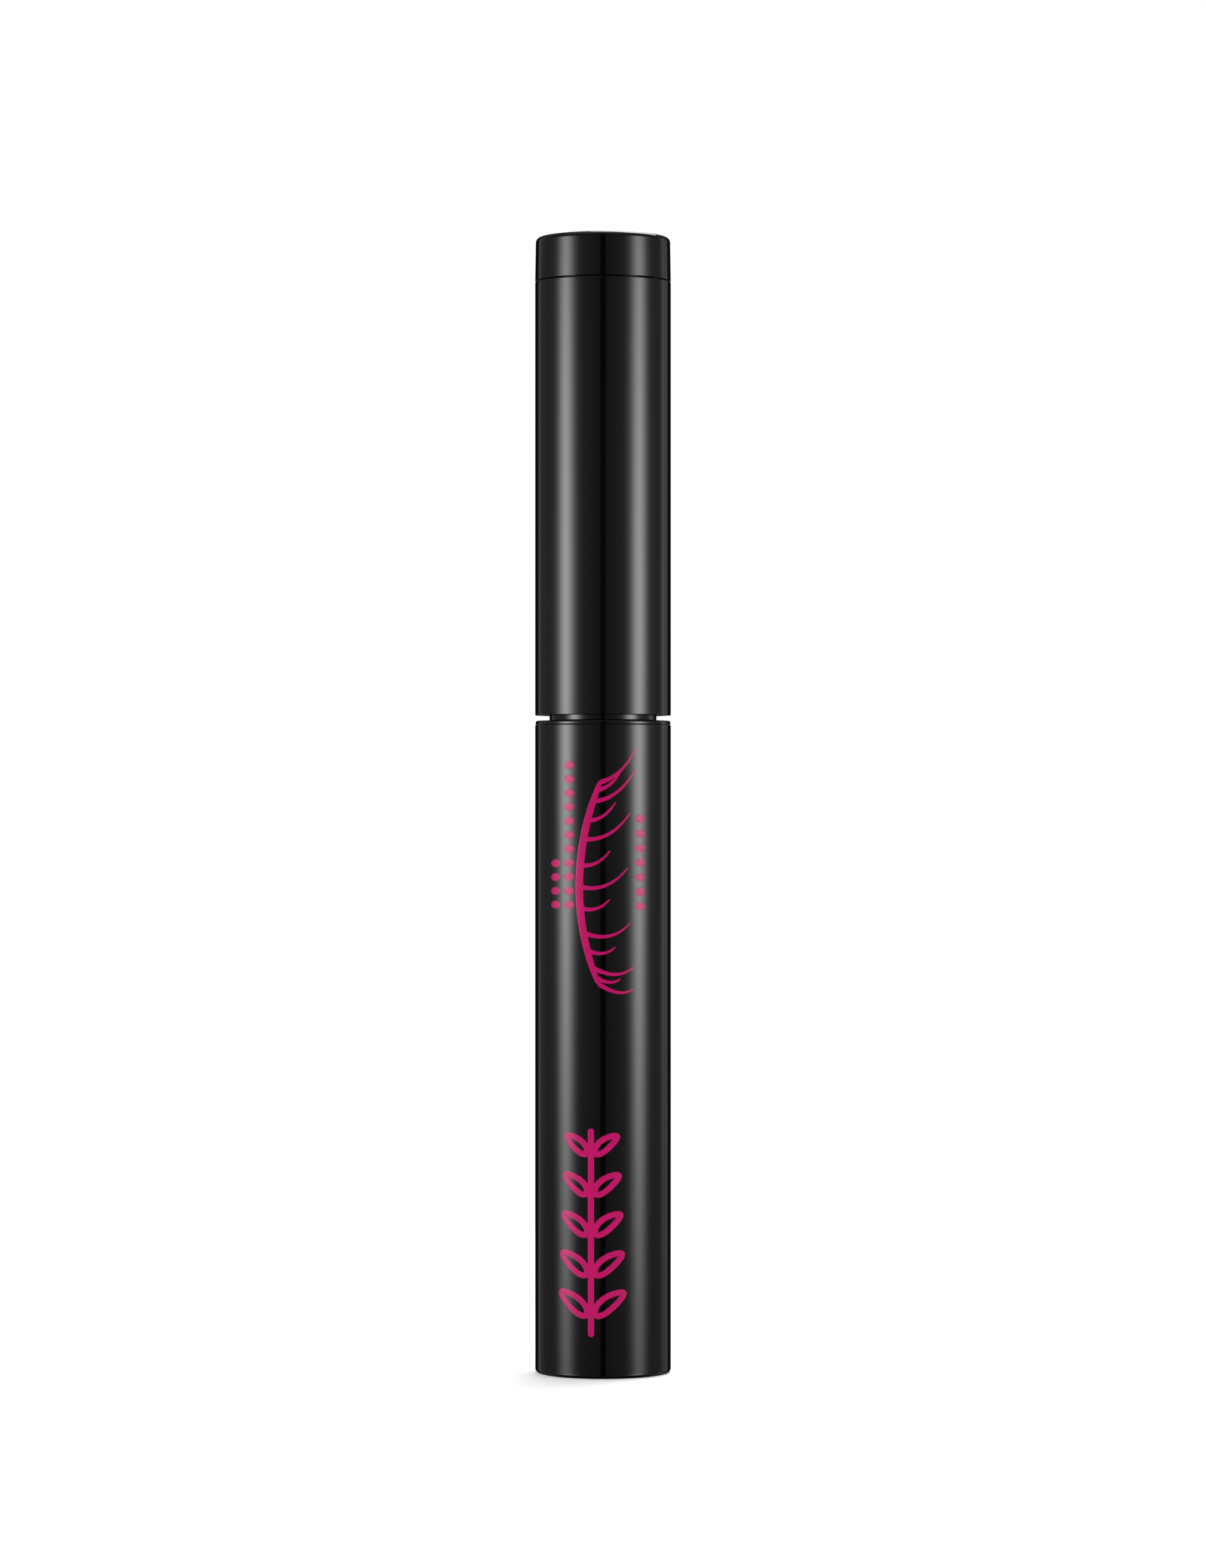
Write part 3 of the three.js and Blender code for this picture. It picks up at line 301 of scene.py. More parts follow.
# ------------------------------------------------------------------ materials
class Nodes:
    """A short way to lay out a material's or the world's node tree."""

    def __init__(self, owner):
        owner.use_nodes = True
        self.tree = owner.node_tree
        self.tree.nodes.clear()

    def add(self, kind, inputs=None, **settings):
        """A node of the given kind. Inputs are values or the sockets that feed them."""
        node = self.tree.nodes.new(kind)
        for key, value in settings.items():
            setattr(node, key, value)
        for key, value in (inputs or {}).items():
            if isinstance(value, bpy.types.NodeSocket):
                self.tree.links.new(value, node.inputs[key])
            else:
                node.inputs[key].default_value = value
        return node

    def spot(self):
        """The place on the piece, in its own coordinates."""
        return self.add("ShaderNodeTexCoord").outputs["Object"]

    def math(self, operation, *values):
        """One arithmetic step on sockets or numbers."""
        return self.add("ShaderNodeMath", dict(enumerate(values)), operation=operation).outputs[0]

    def sum(self, first, *others):
        """All values added up."""
        for value in others:
            first = self.math("ADD", first, value)
        return first

    def product(self, first, *others):
        """All values multiplied."""
        for value in others:
            first = self.math("MULTIPLY", first, value)
        return first

    def bell(self, value, centre, width):
        """A bell curve of a socket's value about a centre."""
        off = self.math("DIVIDE", self.math("SUBTRACT", value, centre), width)
        return self.math("EXPONENT", self.product(off, off, -0.5))

    def noise(self, vector, scale, detail, roughness=0.5, distortion=0.0):
        """Cloudy noise from 0 to 1."""
        inputs = {"Vector": vector, "Scale": scale, "Detail": detail}
        inputs.update({"Roughness": roughness, "Distortion": distortion})
        return self.add("ShaderNodeTexNoise", inputs).outputs["Fac"]

    def span(self, value, low, high, from_low=0.3, from_high=0.7):
        """The value's range from from_low to from_high, stretched to low to high."""
        inputs = {0: value, 1: from_low, 2: from_high, 3: low, 4: high}
        return self.add("ShaderNodeMapRange", inputs).outputs[0]

    def blend(self, factor, first, second):
        """A colour between the first and the second."""
        inputs = {0: factor, 6: (*first, 1), 7: (*second, 1)}
        return self.add("ShaderNodeMix", inputs, data_type="RGBA").outputs[2]

    def lift(self, height, strength, distance):
        """The normal of a surface raised by the height."""
        inputs = {"Strength": strength, "Distance": distance, "Height": height}
        return self.add("ShaderNodeBump", inputs).outputs[0]

    def shader(self, kind, inputs):
        """A shader's output."""
        return self.add(kind, inputs).outputs[0]

    def finish(self, shader, kind="ShaderNodeOutputMaterial"):
        """Ends the tree in its output."""
        self.add(kind, {"Surface": shader})


def shade(colour, factor):
    """The colour made lighter or darker."""
    return tuple(min(1.0, channel * factor) for channel in colour)


def moulded(
    name, colour, roughness, spread, grain, wave, bump, variation=0.12, streak=None, **sockets
):
    """A moulded or plated surface. A coarse noise of scale wave varies the colour by a share, a fine
    one of scale grain varies the roughness from roughness - spread to roughness + spread, and both
    lift the surface by a little. streak squeezes the pattern along Z, into the fine rings of turned
    metal. Other sockets of the shader are passed on by name, with _ for a space."""
    material = bpy.data.materials.new(name)
    nodes = Nodes(material)
    spot = nodes.spot()
    if streak:
        spot = nodes.add("ShaderNodeMapping", {"Vector": spot, "Scale": (1, 1, streak)}).outputs[0]
    coarse = nodes.noise(spot, wave, 3.0)
    fine = nodes.noise(spot, grain, 4.0, 0.6)
    height = nodes.sum(nodes.product(coarse, 0.6), nodes.product(fine, 0.4))
    surface = {
        "Base Color": nodes.blend(coarse, shade(colour, 1 - variation), shade(colour, 1 + variation)),
        "Roughness": nodes.span(fine, max(0.01, roughness - spread), roughness + spread),
        "Normal": nodes.lift(height, bump, 0.2 * MM),
    }
    surface.update({key.replace("_", " "): value for key, value in sockets.items()})
    nodes.finish(nodes.shader("ShaderNodeBsdfPrincipled", surface))
    return material


def finish_table():
    """The numbers of moulded for every finish: colour, roughness, spread, grain, wave, bump and, where
    it isn't the usual one, variation. The last dictionary holds what else a finish has."""
    chosen = bpy.context.scene.mascara_finishes
    black, ink, pink = tuple(chosen.gloss_black), tuple(chosen.ink_pink), tuple(chosen.neon_pink)
    steel, natural = tuple(chosen.steel), tuple(chosen.natural)
    # Painted glow: the neon pink stem and button emit a little light in their own colour, which brightens
    # them beyond what the lamps give.
    painted_glow = {"Emission_Color": (*pink, 1), "Emission_Strength": 0.12}
    pink_depth = {"Subsurface_Weight": 0.15, "Subsurface_Scale": 0.6 * MM}
    milky_depth = {"Subsurface_Weight": 0.2, "Subsurface_Scale": 0.5 * MM}
    return {
        "gloss_black": (black, 0.055, 0.02, 1500, 140, 0.012, {}),
        "satin_black": ((0.011, 0.010, 0.011), 0.38, 0.07, 1800, 90, 0.10, {}),
        "neon_pink": (pink, 0.17, 0.04, 1600, 120, 0.02, 0.04, {**painted_glow, **pink_depth}),
        "ink_pink": (ink, 0.22, 0.05, 2600, 400, 0.05, 0.10, {"Specular_IOR_Level": 0.28}),
        "natural": (natural, 0.38, 0.06, 1500, 100, 0.06, 0.05, milky_depth),
        "gear_white": ((0.80, 0.78, 0.72), 0.42, 0.07, 1500, 200, 0.08, 0.05, {}),
        "seal_rubber": ((0.016, 0.016, 0.018), 0.72, 0.08, 2600, 200, 0.3, {}),
        "steel": (steel, 0.27, 0.09, 900, 120, 0.05, 0.06, {"streak": 14, "Metallic": 1.0}),
        "cell_steel": (steel, 0.22, 0.06, 1200, 150, 0.04, 0.06, {"streak": 9, "Metallic": 1.0}),
        "brass": ((0.60, 0.40, 0.13), 0.30, 0.09, 1000, 160, 0.05, 0.10, {"streak": 10, "Metallic": 1.0}),
        "copper": ((0.50, 0.17, 0.07), 0.36, 0.10, 1400, 150, 0.5, 0.22, {"streak": 20, "Metallic": 1.0}),
        "frame_grey": ((0.15, 0.155, 0.165), 0.5, 0.08, 1600, 120, 0.12, 0.08, {}),
        "magnet_grey": ((0.045, 0.047, 0.052), 0.62, 0.1, 2400, 300, 0.4, 0.2, {}),
        "board_green": ((0.012, 0.105, 0.042), 0.32, 0.08, 1500, 260, 0.15, 0.2, {}),
    }


def cream_finish():
    """Wet mascara paste: two noises at the scale of clumps and of strands vary the gloss and lift the
    surface strongly, under a clear wet coat."""
    material = bpy.data.materials.new("mascara_cream")
    nodes = Nodes(material)
    drawn = nodes.add("ShaderNodeMapping", {"Vector": nodes.spot(), "Scale": (1.0, 1.0, 0.45)}).outputs[0]
    clumps = nodes.noise(drawn, 950.0, 3.0, 0.55, 0.6)
    strands = nodes.noise(drawn, 2800.0, 4.0, 0.6, 0.3)
    height = nodes.sum(nodes.product(clumps, 0.75), nodes.product(strands, 0.25))
    surface = {
        "Base Color": nodes.blend(clumps, (0.0018, 0.0016, 0.0018), (0.0075, 0.0068, 0.0072)),
        "Roughness": nodes.span(strands, 0.12, 0.30),
        "Normal": nodes.lift(height, 0.7, 0.28 * MM),
        "Coat Weight": 0.2,
        "Coat Roughness": 0.16,
    }
    nodes.finish(nodes.shader("ShaderNodeBsdfPrincipled", surface))
    return material


MATERIALS = {}


def finish_of(name):
    """The named finish, made when it is first asked for."""
    if name not in MATERIALS:
        if name == "mascara_cream":
            MATERIALS[name] = cream_finish()
        else:
            *numbers, extras = finish_table()[name]
            MATERIALS[name] = moulded(name, *numbers, **extras)
    return MATERIALS[name]


# ------------------------------------------------------------------ operators
class Maker(bpy.types.Operator):
    """Common ground of the operators that make pieces."""

    bl_options = {"REGISTER", "UNDO"}

    def execute(self, context):
        """Hands the scene's sizes to make, which each operator has."""
        self.make(context.scene.mascara_sizes)
        return {"FINISHED"}


class MASCARA_OT_bottle(Maker):
    """Makes the bottle's outer shell."""

    bl_idname = "mascara.bottle"
    bl_label = "Bottle shell"

    def make(self, sizes):
        """A cup turned about Z: hollow foot, rounded lower edge, straight wall and open top."""
        wall_r = radii_at("bottle_shell", SHELL_TOP)[0]
        foot_r = OUTER_R - 2.4 * MM
        hollow_z = 0.3 * MM
        floor_z = 1.0 * MM
        profile = rounded([
            (0, hollow_z, 0),
            (foot_r - 0.35 * MM, hollow_z, 0.12 * MM),
            (foot_r, 0, 0.15 * MM),
            (OUTER_R, 0, sizes.foot_round),
            (OUTER_R, SHELL_TOP, sizes.edge_round),
            (wall_r, SHELL_TOP, 0.05 * MM),
            (wall_r, floor_z, 0.6 * MM),
            (0, floor_z, 0),
        ])
        shell = [turned(profile, sizes.sides)]
        add_piece("bottle_case", shell, "gloss_black", "bottle", "gloss_black", "bottle_shell")


class MASCARA_OT_neck(Maker):
    """Makes the vial with its shoulder and screw neck, and the wiper in its mouth."""

    bl_idname = "mascara.neck"
    bl_label = "Vial, neck and wiper"

    def make(self, sizes):
        """Makes the vial, then the wiper."""
        self.vial(sizes)
        self.wiper(sizes)

    def vial(self, sizes):
        """A profile turned about Z, with the thread added to the neck's radius."""
        flange = SHOULDER_Z - 0.5 * MM
        flange_r = OUTER_R - 0.05 * MM
        body_r = radii("vial", 2 * MM, 10 * MM)[1]
        bore_r = radii_at("vial", MOUTH_Z)[0]
        collar_r = radii_at("vial", COLLAR_TOP)[1]
        root_r = bore_r + 1.05 * MM
        hollow_r = body_r - 1.0 * MM
        floor_z = VIAL_LOW + 0.8 * MM
        neck = np.linspace(COLLAR_TOP + 0.5 * MM, MOUTH_Z - 0.35 * MM, 110)
        outside = rounded([
            (0, VIAL_LOW, 0),
            (body_r, VIAL_LOW, 0.8 * MM),
            (body_r, flange, 0.05 * MM),
            (flange_r, flange, 0.05 * MM),
            (flange_r, SHOULDER_Z, 0.38 * MM),
            (collar_r, SHOULDER_Z, 0.12 * MM),
            (collar_r, COLLAR_TOP, 0.15 * MM),
            (root_r, COLLAR_TOP + 0.35 * MM, 0.1 * MM),
            (root_r, COLLAR_TOP + 0.45 * MM, 0),
        ])
        inside = rounded([
            (root_r, MOUTH_Z - 0.32 * MM, 0),
            (root_r, MOUTH_Z, 0.28 * MM),
            (bore_r, MOUTH_Z, 0.12 * MM),
            (bore_r, SHOULDER_Z - 1 * MM, 0.5 * MM),
            (hollow_r, SHOULDER_Z - 3.4 * MM, 0.8 * MM),
            (hollow_r, floor_z, 0.5 * MM),
            (0, floor_z, 0),
        ])
        screw = np.stack([np.full_like(neck, root_r), neck], -1)
        profile = np.concatenate([outside, screw, inside])
        ridge = thread(root_r, start=COLLAR_TOP + 1.25 * MM, depth=0.42 * MM, crest=0.55 * MM)
        vial = [turned(profile, sizes.sides, shape=ridge)]
        add_piece("vial_and_neck", vial, "gloss_black", "bottle", "gloss_black", "vial")

    def wiper(self, sizes):
        """A turned cup with a flange on the mouth and a funnel that leads to its lip."""
        low, high = extent("wiper")
        lip_r, flange_r = radii("wiper", low - MM, high + MM)
        tube_r = radii_at("vial", MOUTH_Z)[0] - 0.1 * MM
        inner_r = tube_r - 0.45 * MM
        seat = MOUTH_Z + 0.04 * MM
        lip_z = low + 0.25 * MM
        cup = rounded([
            (lip_r, lip_z, 0.12 * MM),
            (lip_r + 0.45 * MM, low, 0.12 * MM),
            (tube_r, lip_z + 2.6 * MM, 0.5 * MM),
            (tube_r, seat, 0.04 * MM),
            (flange_r, seat, 0.05 * MM),
            (flange_r, high, 0.2 * MM),
            (inner_r, high, 0.3 * MM),
            (inner_r, lip_z + 2.9 * MM, 0.5 * MM),
            (lip_r, lip_z + 0.5 * MM, 0.15 * MM),
        ], closed=True)
        wiper = [turned(cup, sizes.sides, closed=True)]
        add_piece("neck_wiper", wiper, "natural", "bottle", "wiper_natural", "wiper")


def strokes_on_tube(paths, sizes):
    """Ink strokes laid on the bottle. Each is a path of (arc along the tube's girth, height) points
    with a half width at each, and a flat superellipse section is carried along it. The half width
    follows a circle within its own length of each end, so the ends are round. Strokes narrower than
    full_height_from are flatter too."""
    sheets = []
    full_height_from = 0.1 * MM
    across = np.linspace(0, 2 * math.pi, 16, endpoint=False)
    flat = np.sign(np.cos(across)) * np.abs(np.cos(across)) ** 0.5
    tall = np.sign(np.sin(across)) * np.abs(np.sin(across)) ** 0.5
    for path, half, is_loop in paths:
        path, half = np.asarray(path, float), np.asarray(half, float)
        along = np.gradient(path, axis=0)
        if is_loop:
            along = np.roll(path, -1, 0) - np.roll(path, 1, 0)
        along /= np.linalg.norm(along, axis=1, keepdims=True)
        side = np.stack([along[:, 1], -along[:, 0]], -1)
        if not is_loop:
            steps = np.linalg.norm(np.diff(path, axis=0), axis=1)
            run = np.concatenate([[0], np.cumsum(steps)])
            near_end = np.minimum(run, run[-1] - run)
            cap = np.clip(near_end / np.maximum(half, 1e-9), 0, 1)
            half = half * np.sqrt(1 - (1 - cap) ** 2)
        spread = path[:, None] + side[:, None] * (half[:, None] * flat)[..., None]
        rise = sizes.ink_height * tall * np.clip(half / full_height_from, 0, 1)[:, None]
        angle = spread[..., 0] / OUTER_R
        radius = OUTER_R + rise
        points = np.stack([radius * np.sin(angle), -radius * np.cos(angle), spread[..., 1]], -1)
        quads = grid_quads(len(path), len(across), wrap_rows=is_loop)[:, ::-1]
        sheets.append((points.reshape(-1, 3), quads))
    return sheets


def ended(start, middle, end, samples):
    """A curved path through three points given in millimetres: a quadratic curve, sampled closely near
    both ends."""
    t = (0.5 - 0.5 * np.cos(np.linspace(0, math.pi, samples)))[:, None]
    start, middle, end = (np.array(point) * MM for point in (start, middle, end))
    control = 2 * middle - (start + end) / 2
    return (1 - t) ** 2 * start + 2 * t * (1 - t) * control + t**2 * end


class MASCARA_OT_print(Maker):
    """Prints a plain lash ornament, rows of lozenges and a leaf sprig on the bottle."""

    bl_idname = "mascara.print"
    bl_label = "Print"

    def make(self, sizes):
        """Every mark is a stroke in the tube's unrolled surface, arc length by height."""
        paths = [*self.lash_line(), *self.lozenge_rows(), *self.sprig()]
        add_piece("bottle_print", strokes_on_tube(paths, sizes), "ink_pink", "bottle", "hot_pink")

    def lash_line(self):
        """A lid line that swells midway, with lashes that fan out from it and curl upwards. Every other
        lash is shorter, and each narrows from foot to tip."""
        lid_samples, lash_samples, lashes = 60, 28, 13
        lid = ended((-0.6, 50.6), (-3.1, 63.4), (-0.3, 76.6), lid_samples)
        swell = np.sin(np.linspace(0, math.pi, lid_samples)) ** 0.7
        yield lid, (0.12 + 0.40 * swell) * MM, False
        taper = (0.36 - 0.31 * np.linspace(0, 1, lash_samples) ** 0.9) * MM
        for number, share in enumerate(np.linspace(0.05, 0.95, lashes)):
            foot = lid[int(share * (lid_samples - 1))] / MM
            fan = (share - 0.5) * 2
            length = (6.3 - 2.0 * fan**2) * (0.62 if number % 2 else 1)
            tip = foot + np.array([length, (fan * 3.0 + 1.9) * length / 5])
            middle = (foot + tip) / 2 + np.array([0.04, -0.17]) * length
            yield ended(foot, middle, tip, lash_samples), taper, False

    def lozenge_rows(self):
        """Rows of small lozenges either side of the lashes, as short strokes that swell midway. A row is
        its place on the girth, its lowest and highest point and its number of lozenges."""
        rows = ((-6.75, 60.1, 66.6, 4), (-4.55, 60.1, 79.2, 11), (5.05, 59.9, 72.3, 7))
        samples, half_length, margin = 14, 0.78, 0.6
        swell = (0.10 + 0.40 * np.sin(np.linspace(0, math.pi, samples))) * MM
        for girth, low, high, lozenges in rows:
            for height in np.linspace(low + margin, high - margin, lozenges):
                ends = (girth - half_length, height), (girth + half_length, height)
                yield ended(ends[0], (girth, height), ends[1], samples), swell, False

    def sprig(self):
        """A bold stem with five pairs of open leaves that grow smaller upwards. A leaf's outline runs
        along the leaf by a cosine and across it by a sine, is broader at its tip, and leans upwards."""
        low, high, girth = 5.4, 34.5, -1.55
        stem_samples, leaf_samples = 60, 56
        pairs, pair_step, lean = 5, 5.15, 0.62
        stem = ended((girth, low), (girth, (low + high) / 2), (girth, high - 2.4), stem_samples)
        yield stem, np.full(stem_samples, 0.40 * MM), False
        around = np.linspace(0, 2 * math.pi, leaf_samples, endpoint=False)
        for level in range(pairs):
            foot = low + 2.9 + level * pair_step
            reach = 3.75 - 0.22 * level
            breadth = 1.28 - 0.06 * level
            for side in (-1, 1):
                out = (1 - np.cos(around)) / 2 * reach + 0.5
                rise = np.sin(around) * breadth * (0.75 + 0.25 * np.cos(around)) + out * lean
                path = np.stack([girth + side * out, foot + rise], -1) * MM
                yield (path if side > 0 else path[::-1]), np.full(leaf_samples, 0.38 * MM), True


class MASCARA_OT_cap_sleeve(Maker):
    """Makes the cap's sleeve with the finger dish sunk into it."""

    bl_idname = "mascara.cap_sleeve"
    bl_label = "Cap sleeve"

    # The window in the wall that the dish's patch fills, and its columns and rows.
    half_angle = math.radians(62)
    half_height = 7.6 * MM
    columns = 24
    rows = 32

    def window(self, wall_r):
        """Edge points of the window round the dish, counter-clockwise from its lower right corner, as
        (arc length, height above the dish's centre)."""
        half_arc = self.half_angle * wall_r
        across = np.linspace(-half_arc, half_arc, self.columns + 1)
        up = np.linspace(-self.half_height, self.half_height, self.rows + 1)
        right = np.stack([np.full_like(up, half_arc), up], -1)[:-1]
        top = np.stack([across[::-1], np.full_like(across, self.half_height)], -1)[:-1]
        left = np.stack([np.full_like(up, -half_arc), up[::-1]], -1)[:-1]
        bottom = np.stack([across, np.full_like(across, -self.half_height)], -1)[:-1]
        return np.concatenate([right, top, left, bottom])

    def dish(self, wall_r, floor_y, floor_r, rounding, hole_r):
        """The patch of wall in the window. Rings run from the button's hole over the flat floor and up
        a rounded edge to the cylinder, and then spread out to the window's edge. The depth between
        floor and cylinder follows a smooth step across the rounding."""
        edge = self.window(wall_r)
        heading = np.arctan2(edge[:, 1], edge[:, 0])
        outer = floor_r + rounding
        flat_rings = np.linspace(hole_r, floor_r, 7)
        edge_rings = floor_r + rounding * np.linspace(0, 1, 19)[1:]
        rings = np.concatenate([flat_rings, edge_rings])[:, None]
        x, height = rings * np.cos(heading), rings * np.sin(heading)
        rise = smooth_step(np.clip((rings - floor_r) / rounding, 0, 1))
        y = floor_y + (np.sqrt(wall_r**2 - x**2) - floor_y) * rise
        share = np.linspace(0, 1, 9)[1:, None]
        ring_x, ring_z = outer * np.cos(heading), outer * np.sin(heading)
        ring_arc = np.arcsin(ring_x / wall_r) * wall_r
        arc = ring_arc + (edge[:, 0] - ring_arc) * share
        spread_z = ring_z + (edge[:, 1] - ring_z) * share
        x = np.concatenate([x, wall_r * np.sin(arc / wall_r)])
        y = np.concatenate([y, wall_r * np.cos(arc / wall_r)])
        height = np.concatenate([height, spread_z])
        points = np.stack([x, y, height + BUTTON_Z], -1).reshape(-1, 3)
        return points, grid_quads(len(x), len(edge))

    def tube(self, profile, sides, walls):
        """The profile turned about Z, without the quads of the windows. Columns in the windows are
        evenly spread over the window's angle, and the others over the rest of the girth."""
        front = np.linspace(-self.half_angle, self.half_angle, self.columns + 1)
        back = np.linspace(self.half_angle, 2 * math.pi - self.half_angle, sides - self.columns + 1)
        angle = math.pi / 2 - np.concatenate([front, back[1:-1]])
        count = len(angle)
        grid = np.broadcast_arrays(
            profile[:, :1] * np.cos(angle), profile[:, :1] * np.sin(angle), profile[:, 1:]
        )
        quads = grid_quads(len(profile), count, wrap_rows=True)
        row, column = quads[:, 0] // count, quads[:, 0] % count
        radius, height = profile[:, 0], profile[:, 1]
        middle = (height + np.roll(height, -1)) / 2
        in_window = (column < self.columns) & (np.abs(middle[row] - BUTTON_Z) < self.half_height)
        on_wall = np.any(np.abs(radius[row][:, None] - np.array(walls)) < 1e-7, axis=1)
        return np.stack(grid, -1).reshape(-1, 3), quads[~(in_window & on_wall)][:, ::-1]

    def make(self, sizes):
        """Two walls and their lips as a turned tube, two dish patches in its windows, and the hole."""
        inner_r = radii_at("cap_sleeve", SEAM_LOW)[0]
        floor_y = extent("button", 1)[1] - 1.05 * MM
        floor_r = 4.75 * MM
        back_y = floor_y - 0.8 * MM
        back_r, back_round = 5.55 * MM, 0.45 * MM
        hole_r = 2.25 * MM
        up = np.linspace(-self.half_height, self.half_height, self.rows + 1) + BUTTON_Z
        lips = rounded([
            (OUTER_R, CAP_LOW, sizes.edge_round),
            *[(OUTER_R, height) for height in up],
            (OUTER_R, SEAM_LOW, sizes.edge_round),
            (inner_r, SEAM_LOW, 0.05 * MM),
            *[(inner_r, height) for height in up[::-1]],
            (inner_r, CAP_LOW, 0.08 * MM),
        ], closed=True)
        tube = self.tube(lips, sizes.sides, (OUTER_R, inner_r))
        outside = self.dish(OUTER_R, floor_y, floor_r, sizes.dish_round, hole_r)
        points, quads = self.dish(inner_r, back_y, back_r, back_round, hole_r)
        inside = (points, quads[:, ::-1])
        count = len(self.window(OUTER_R))
        hole = np.concatenate([points[:count], outside[0][:count]])
        bore = (hole, grid_quads(2, count))
        sheets = [tube, outside, inside, bore]
        sleeve = add_piece(
            "cap_case", sheets, "gloss_black", "cap", "gloss_black", "cap_sleeve", sharp_degrees=50
        )
        work = bmesh.new()
        work.from_mesh(sleeve.data)
        bmesh.ops.recalc_face_normals(work, faces=work.faces)
        work.to_mesh(sleeve.data)
        work.free()


class MASCARA_OT_end_cap(Maker):
    """Makes the end cap that covers the cells."""

    bl_idname = "mascara.end_cap"
    bl_label = "End cap"

    def make(self, sizes):
        """A turned cap with a crowned edge, a slight draft, and the skirt and boss under it."""
        lip_z = SEAM_LOW + 0.15 * MM
        skirt_r = radii("end_cap", END_CAP_LOW - 0.1 * MM, lip_z - 0.5 * MM)[1]
        boss_low = SEAM_LOW - 1.7 * MM
        boss_r = 3.4 * MM
        wall = 0.75 * MM
        roof = END_CAP_TOP - 1.3 * MM
        hollow_r = OUTER_R - 1.1 * MM
        profile = rounded([
            (0, boss_low, 0),
            (boss_r, boss_low, 0.15 * MM),
            (boss_r, roof, 0.3 * MM),
            (hollow_r - wall, roof, 0.3 * MM),
            (skirt_r - wall, END_CAP_LOW, 0.08 * MM),
            (skirt_r, END_CAP_LOW, 0.18 * MM),
            (skirt_r, lip_z, 0.04 * MM),
            (OUTER_R, lip_z, sizes.edge_round),
            (OUTER_R - sizes.end_cap_draft, END_CAP_TOP, sizes.crown_round),
            (0, END_CAP_TOP, 0),
        ])
        cap = [turned(profile, sizes.sides)]
        add_piece("end_cap_case", cap, "gloss_black", "end_cap", "gloss_black", "end_cap")


class MASCARA_OT_button(Maker):
    """Makes the push button and the switch's plunger under it."""

    bl_idname = "mascara.button"
    bl_label = "Push button"

    def make(self, sizes):
        """A turned cap with a broad rounded shoulder round a face that dips slightly, and the plunger
        as a turned stub."""
        low, high = extent("button", 1)
        flange_r = half_width("button")
        face_r = flange_r - 0.5 * MM
        foot_r = 1.05 * MM
        flange = low + 0.1 * MM
        flange_top = flange + 0.25 * MM
        profile = rounded([
            (0, low, 0),
            (foot_r, low, 0.1 * MM),
            (foot_r, flange, 0.03 * MM),
            (flange_r, flange, 0.05 * MM),
            (flange_r, flange_top, 0.05 * MM),
            (face_r, flange_top, 0.04 * MM),
            (face_r, high - 0.04 * MM, 0.30 * MM),
            (face_r - 0.62 * MM, high, 0.35 * MM),
            (face_r - 0.85 * MM, high - 0.13 * MM, 0.3 * MM),
            (0, high - 0.15 * MM, 0),
        ])
        button = [about_button(turned(profile, 96))]
        add_piece("push_button", button, "neon_pink", "button", "hot_pink", "button")
        low, high = extent("switch_plunger", 1)
        radius = half_width("switch_plunger")
        stub = rounded([(0, low), (radius, low, 0.05 * MM), (radius, high, 0.12 * MM), (0, high)])
        plunger = [about_button(turned(stub, 64))]
        add_piece("plunger", plunger, "natural", "button", "wiper_natural", "switch_plunger")


class MASCARA_OT_liner(Maker):
    """Makes the threaded inner cap and the gasket in it."""

    bl_idname = "mascara.liner"
    bl_label = "Inner cap and gasket"

    def make(self, sizes):
        """Makes the inner cap, then the gasket."""
        self.liner(sizes)
        self.gasket()

    def liner(self, sizes):
        """A turned cup, open below, with the thread raised inwards from its bore."""
        low, high = extent("inner_cap")
        outer_r = half_width("inner_cap")
        bore_r = radii_at("inner_cap", low)[0]
        hole_r = radii_at("inner_cap", high)[0]
        ceiling = high - 1.2 * MM
        screw = np.linspace(ceiling - 0.6 * MM, low + 0.7 * MM, 130)
        outside = rounded([
            (bore_r, low + 0.6 * MM, 0),
            (bore_r, low, 0.12 * MM),
            (outer_r, low, 0.15 * MM),
            (outer_r, high, 0.15 * MM),
            (hole_r, high, 0.1 * MM),
            (hole_r, ceiling, 0.1 * MM),
            (bore_r, ceiling, 0.3 * MM),
            (bore_r, ceiling - 0.5 * MM, 0),
        ])
        profile = np.concatenate([outside, np.stack([np.full_like(screw, bore_r), screw], -1)])
        ridge = thread(bore_r, start=COLLAR_TOP + 2.55 * MM, depth=-0.58 * MM, crest=0.6 * MM)
        liner = [turned(profile, sizes.sides, closed=True, shape=ridge)]
        add_piece("screw_liner", liner, "satin_black", "cap", "inner_black", "inner_cap")

    def gasket(self):
        """A turned ring with rounded edges."""
        low, high = extent("gasket")
        inner_r, outer_r = radii("gasket", low - MM, high + MM)
        corners = [(inner_r, low), (outer_r, low), (outer_r, high), (inner_r, high)]
        section = rounded([(*corner, 0.22 * MM) for corner in corners], closed=True)
        gasket = [turned(section, 96, closed=True)]
        add_piece("gasket_ring", gasket, "seal_rubber", "gasket", "seal_rubber", "gasket")


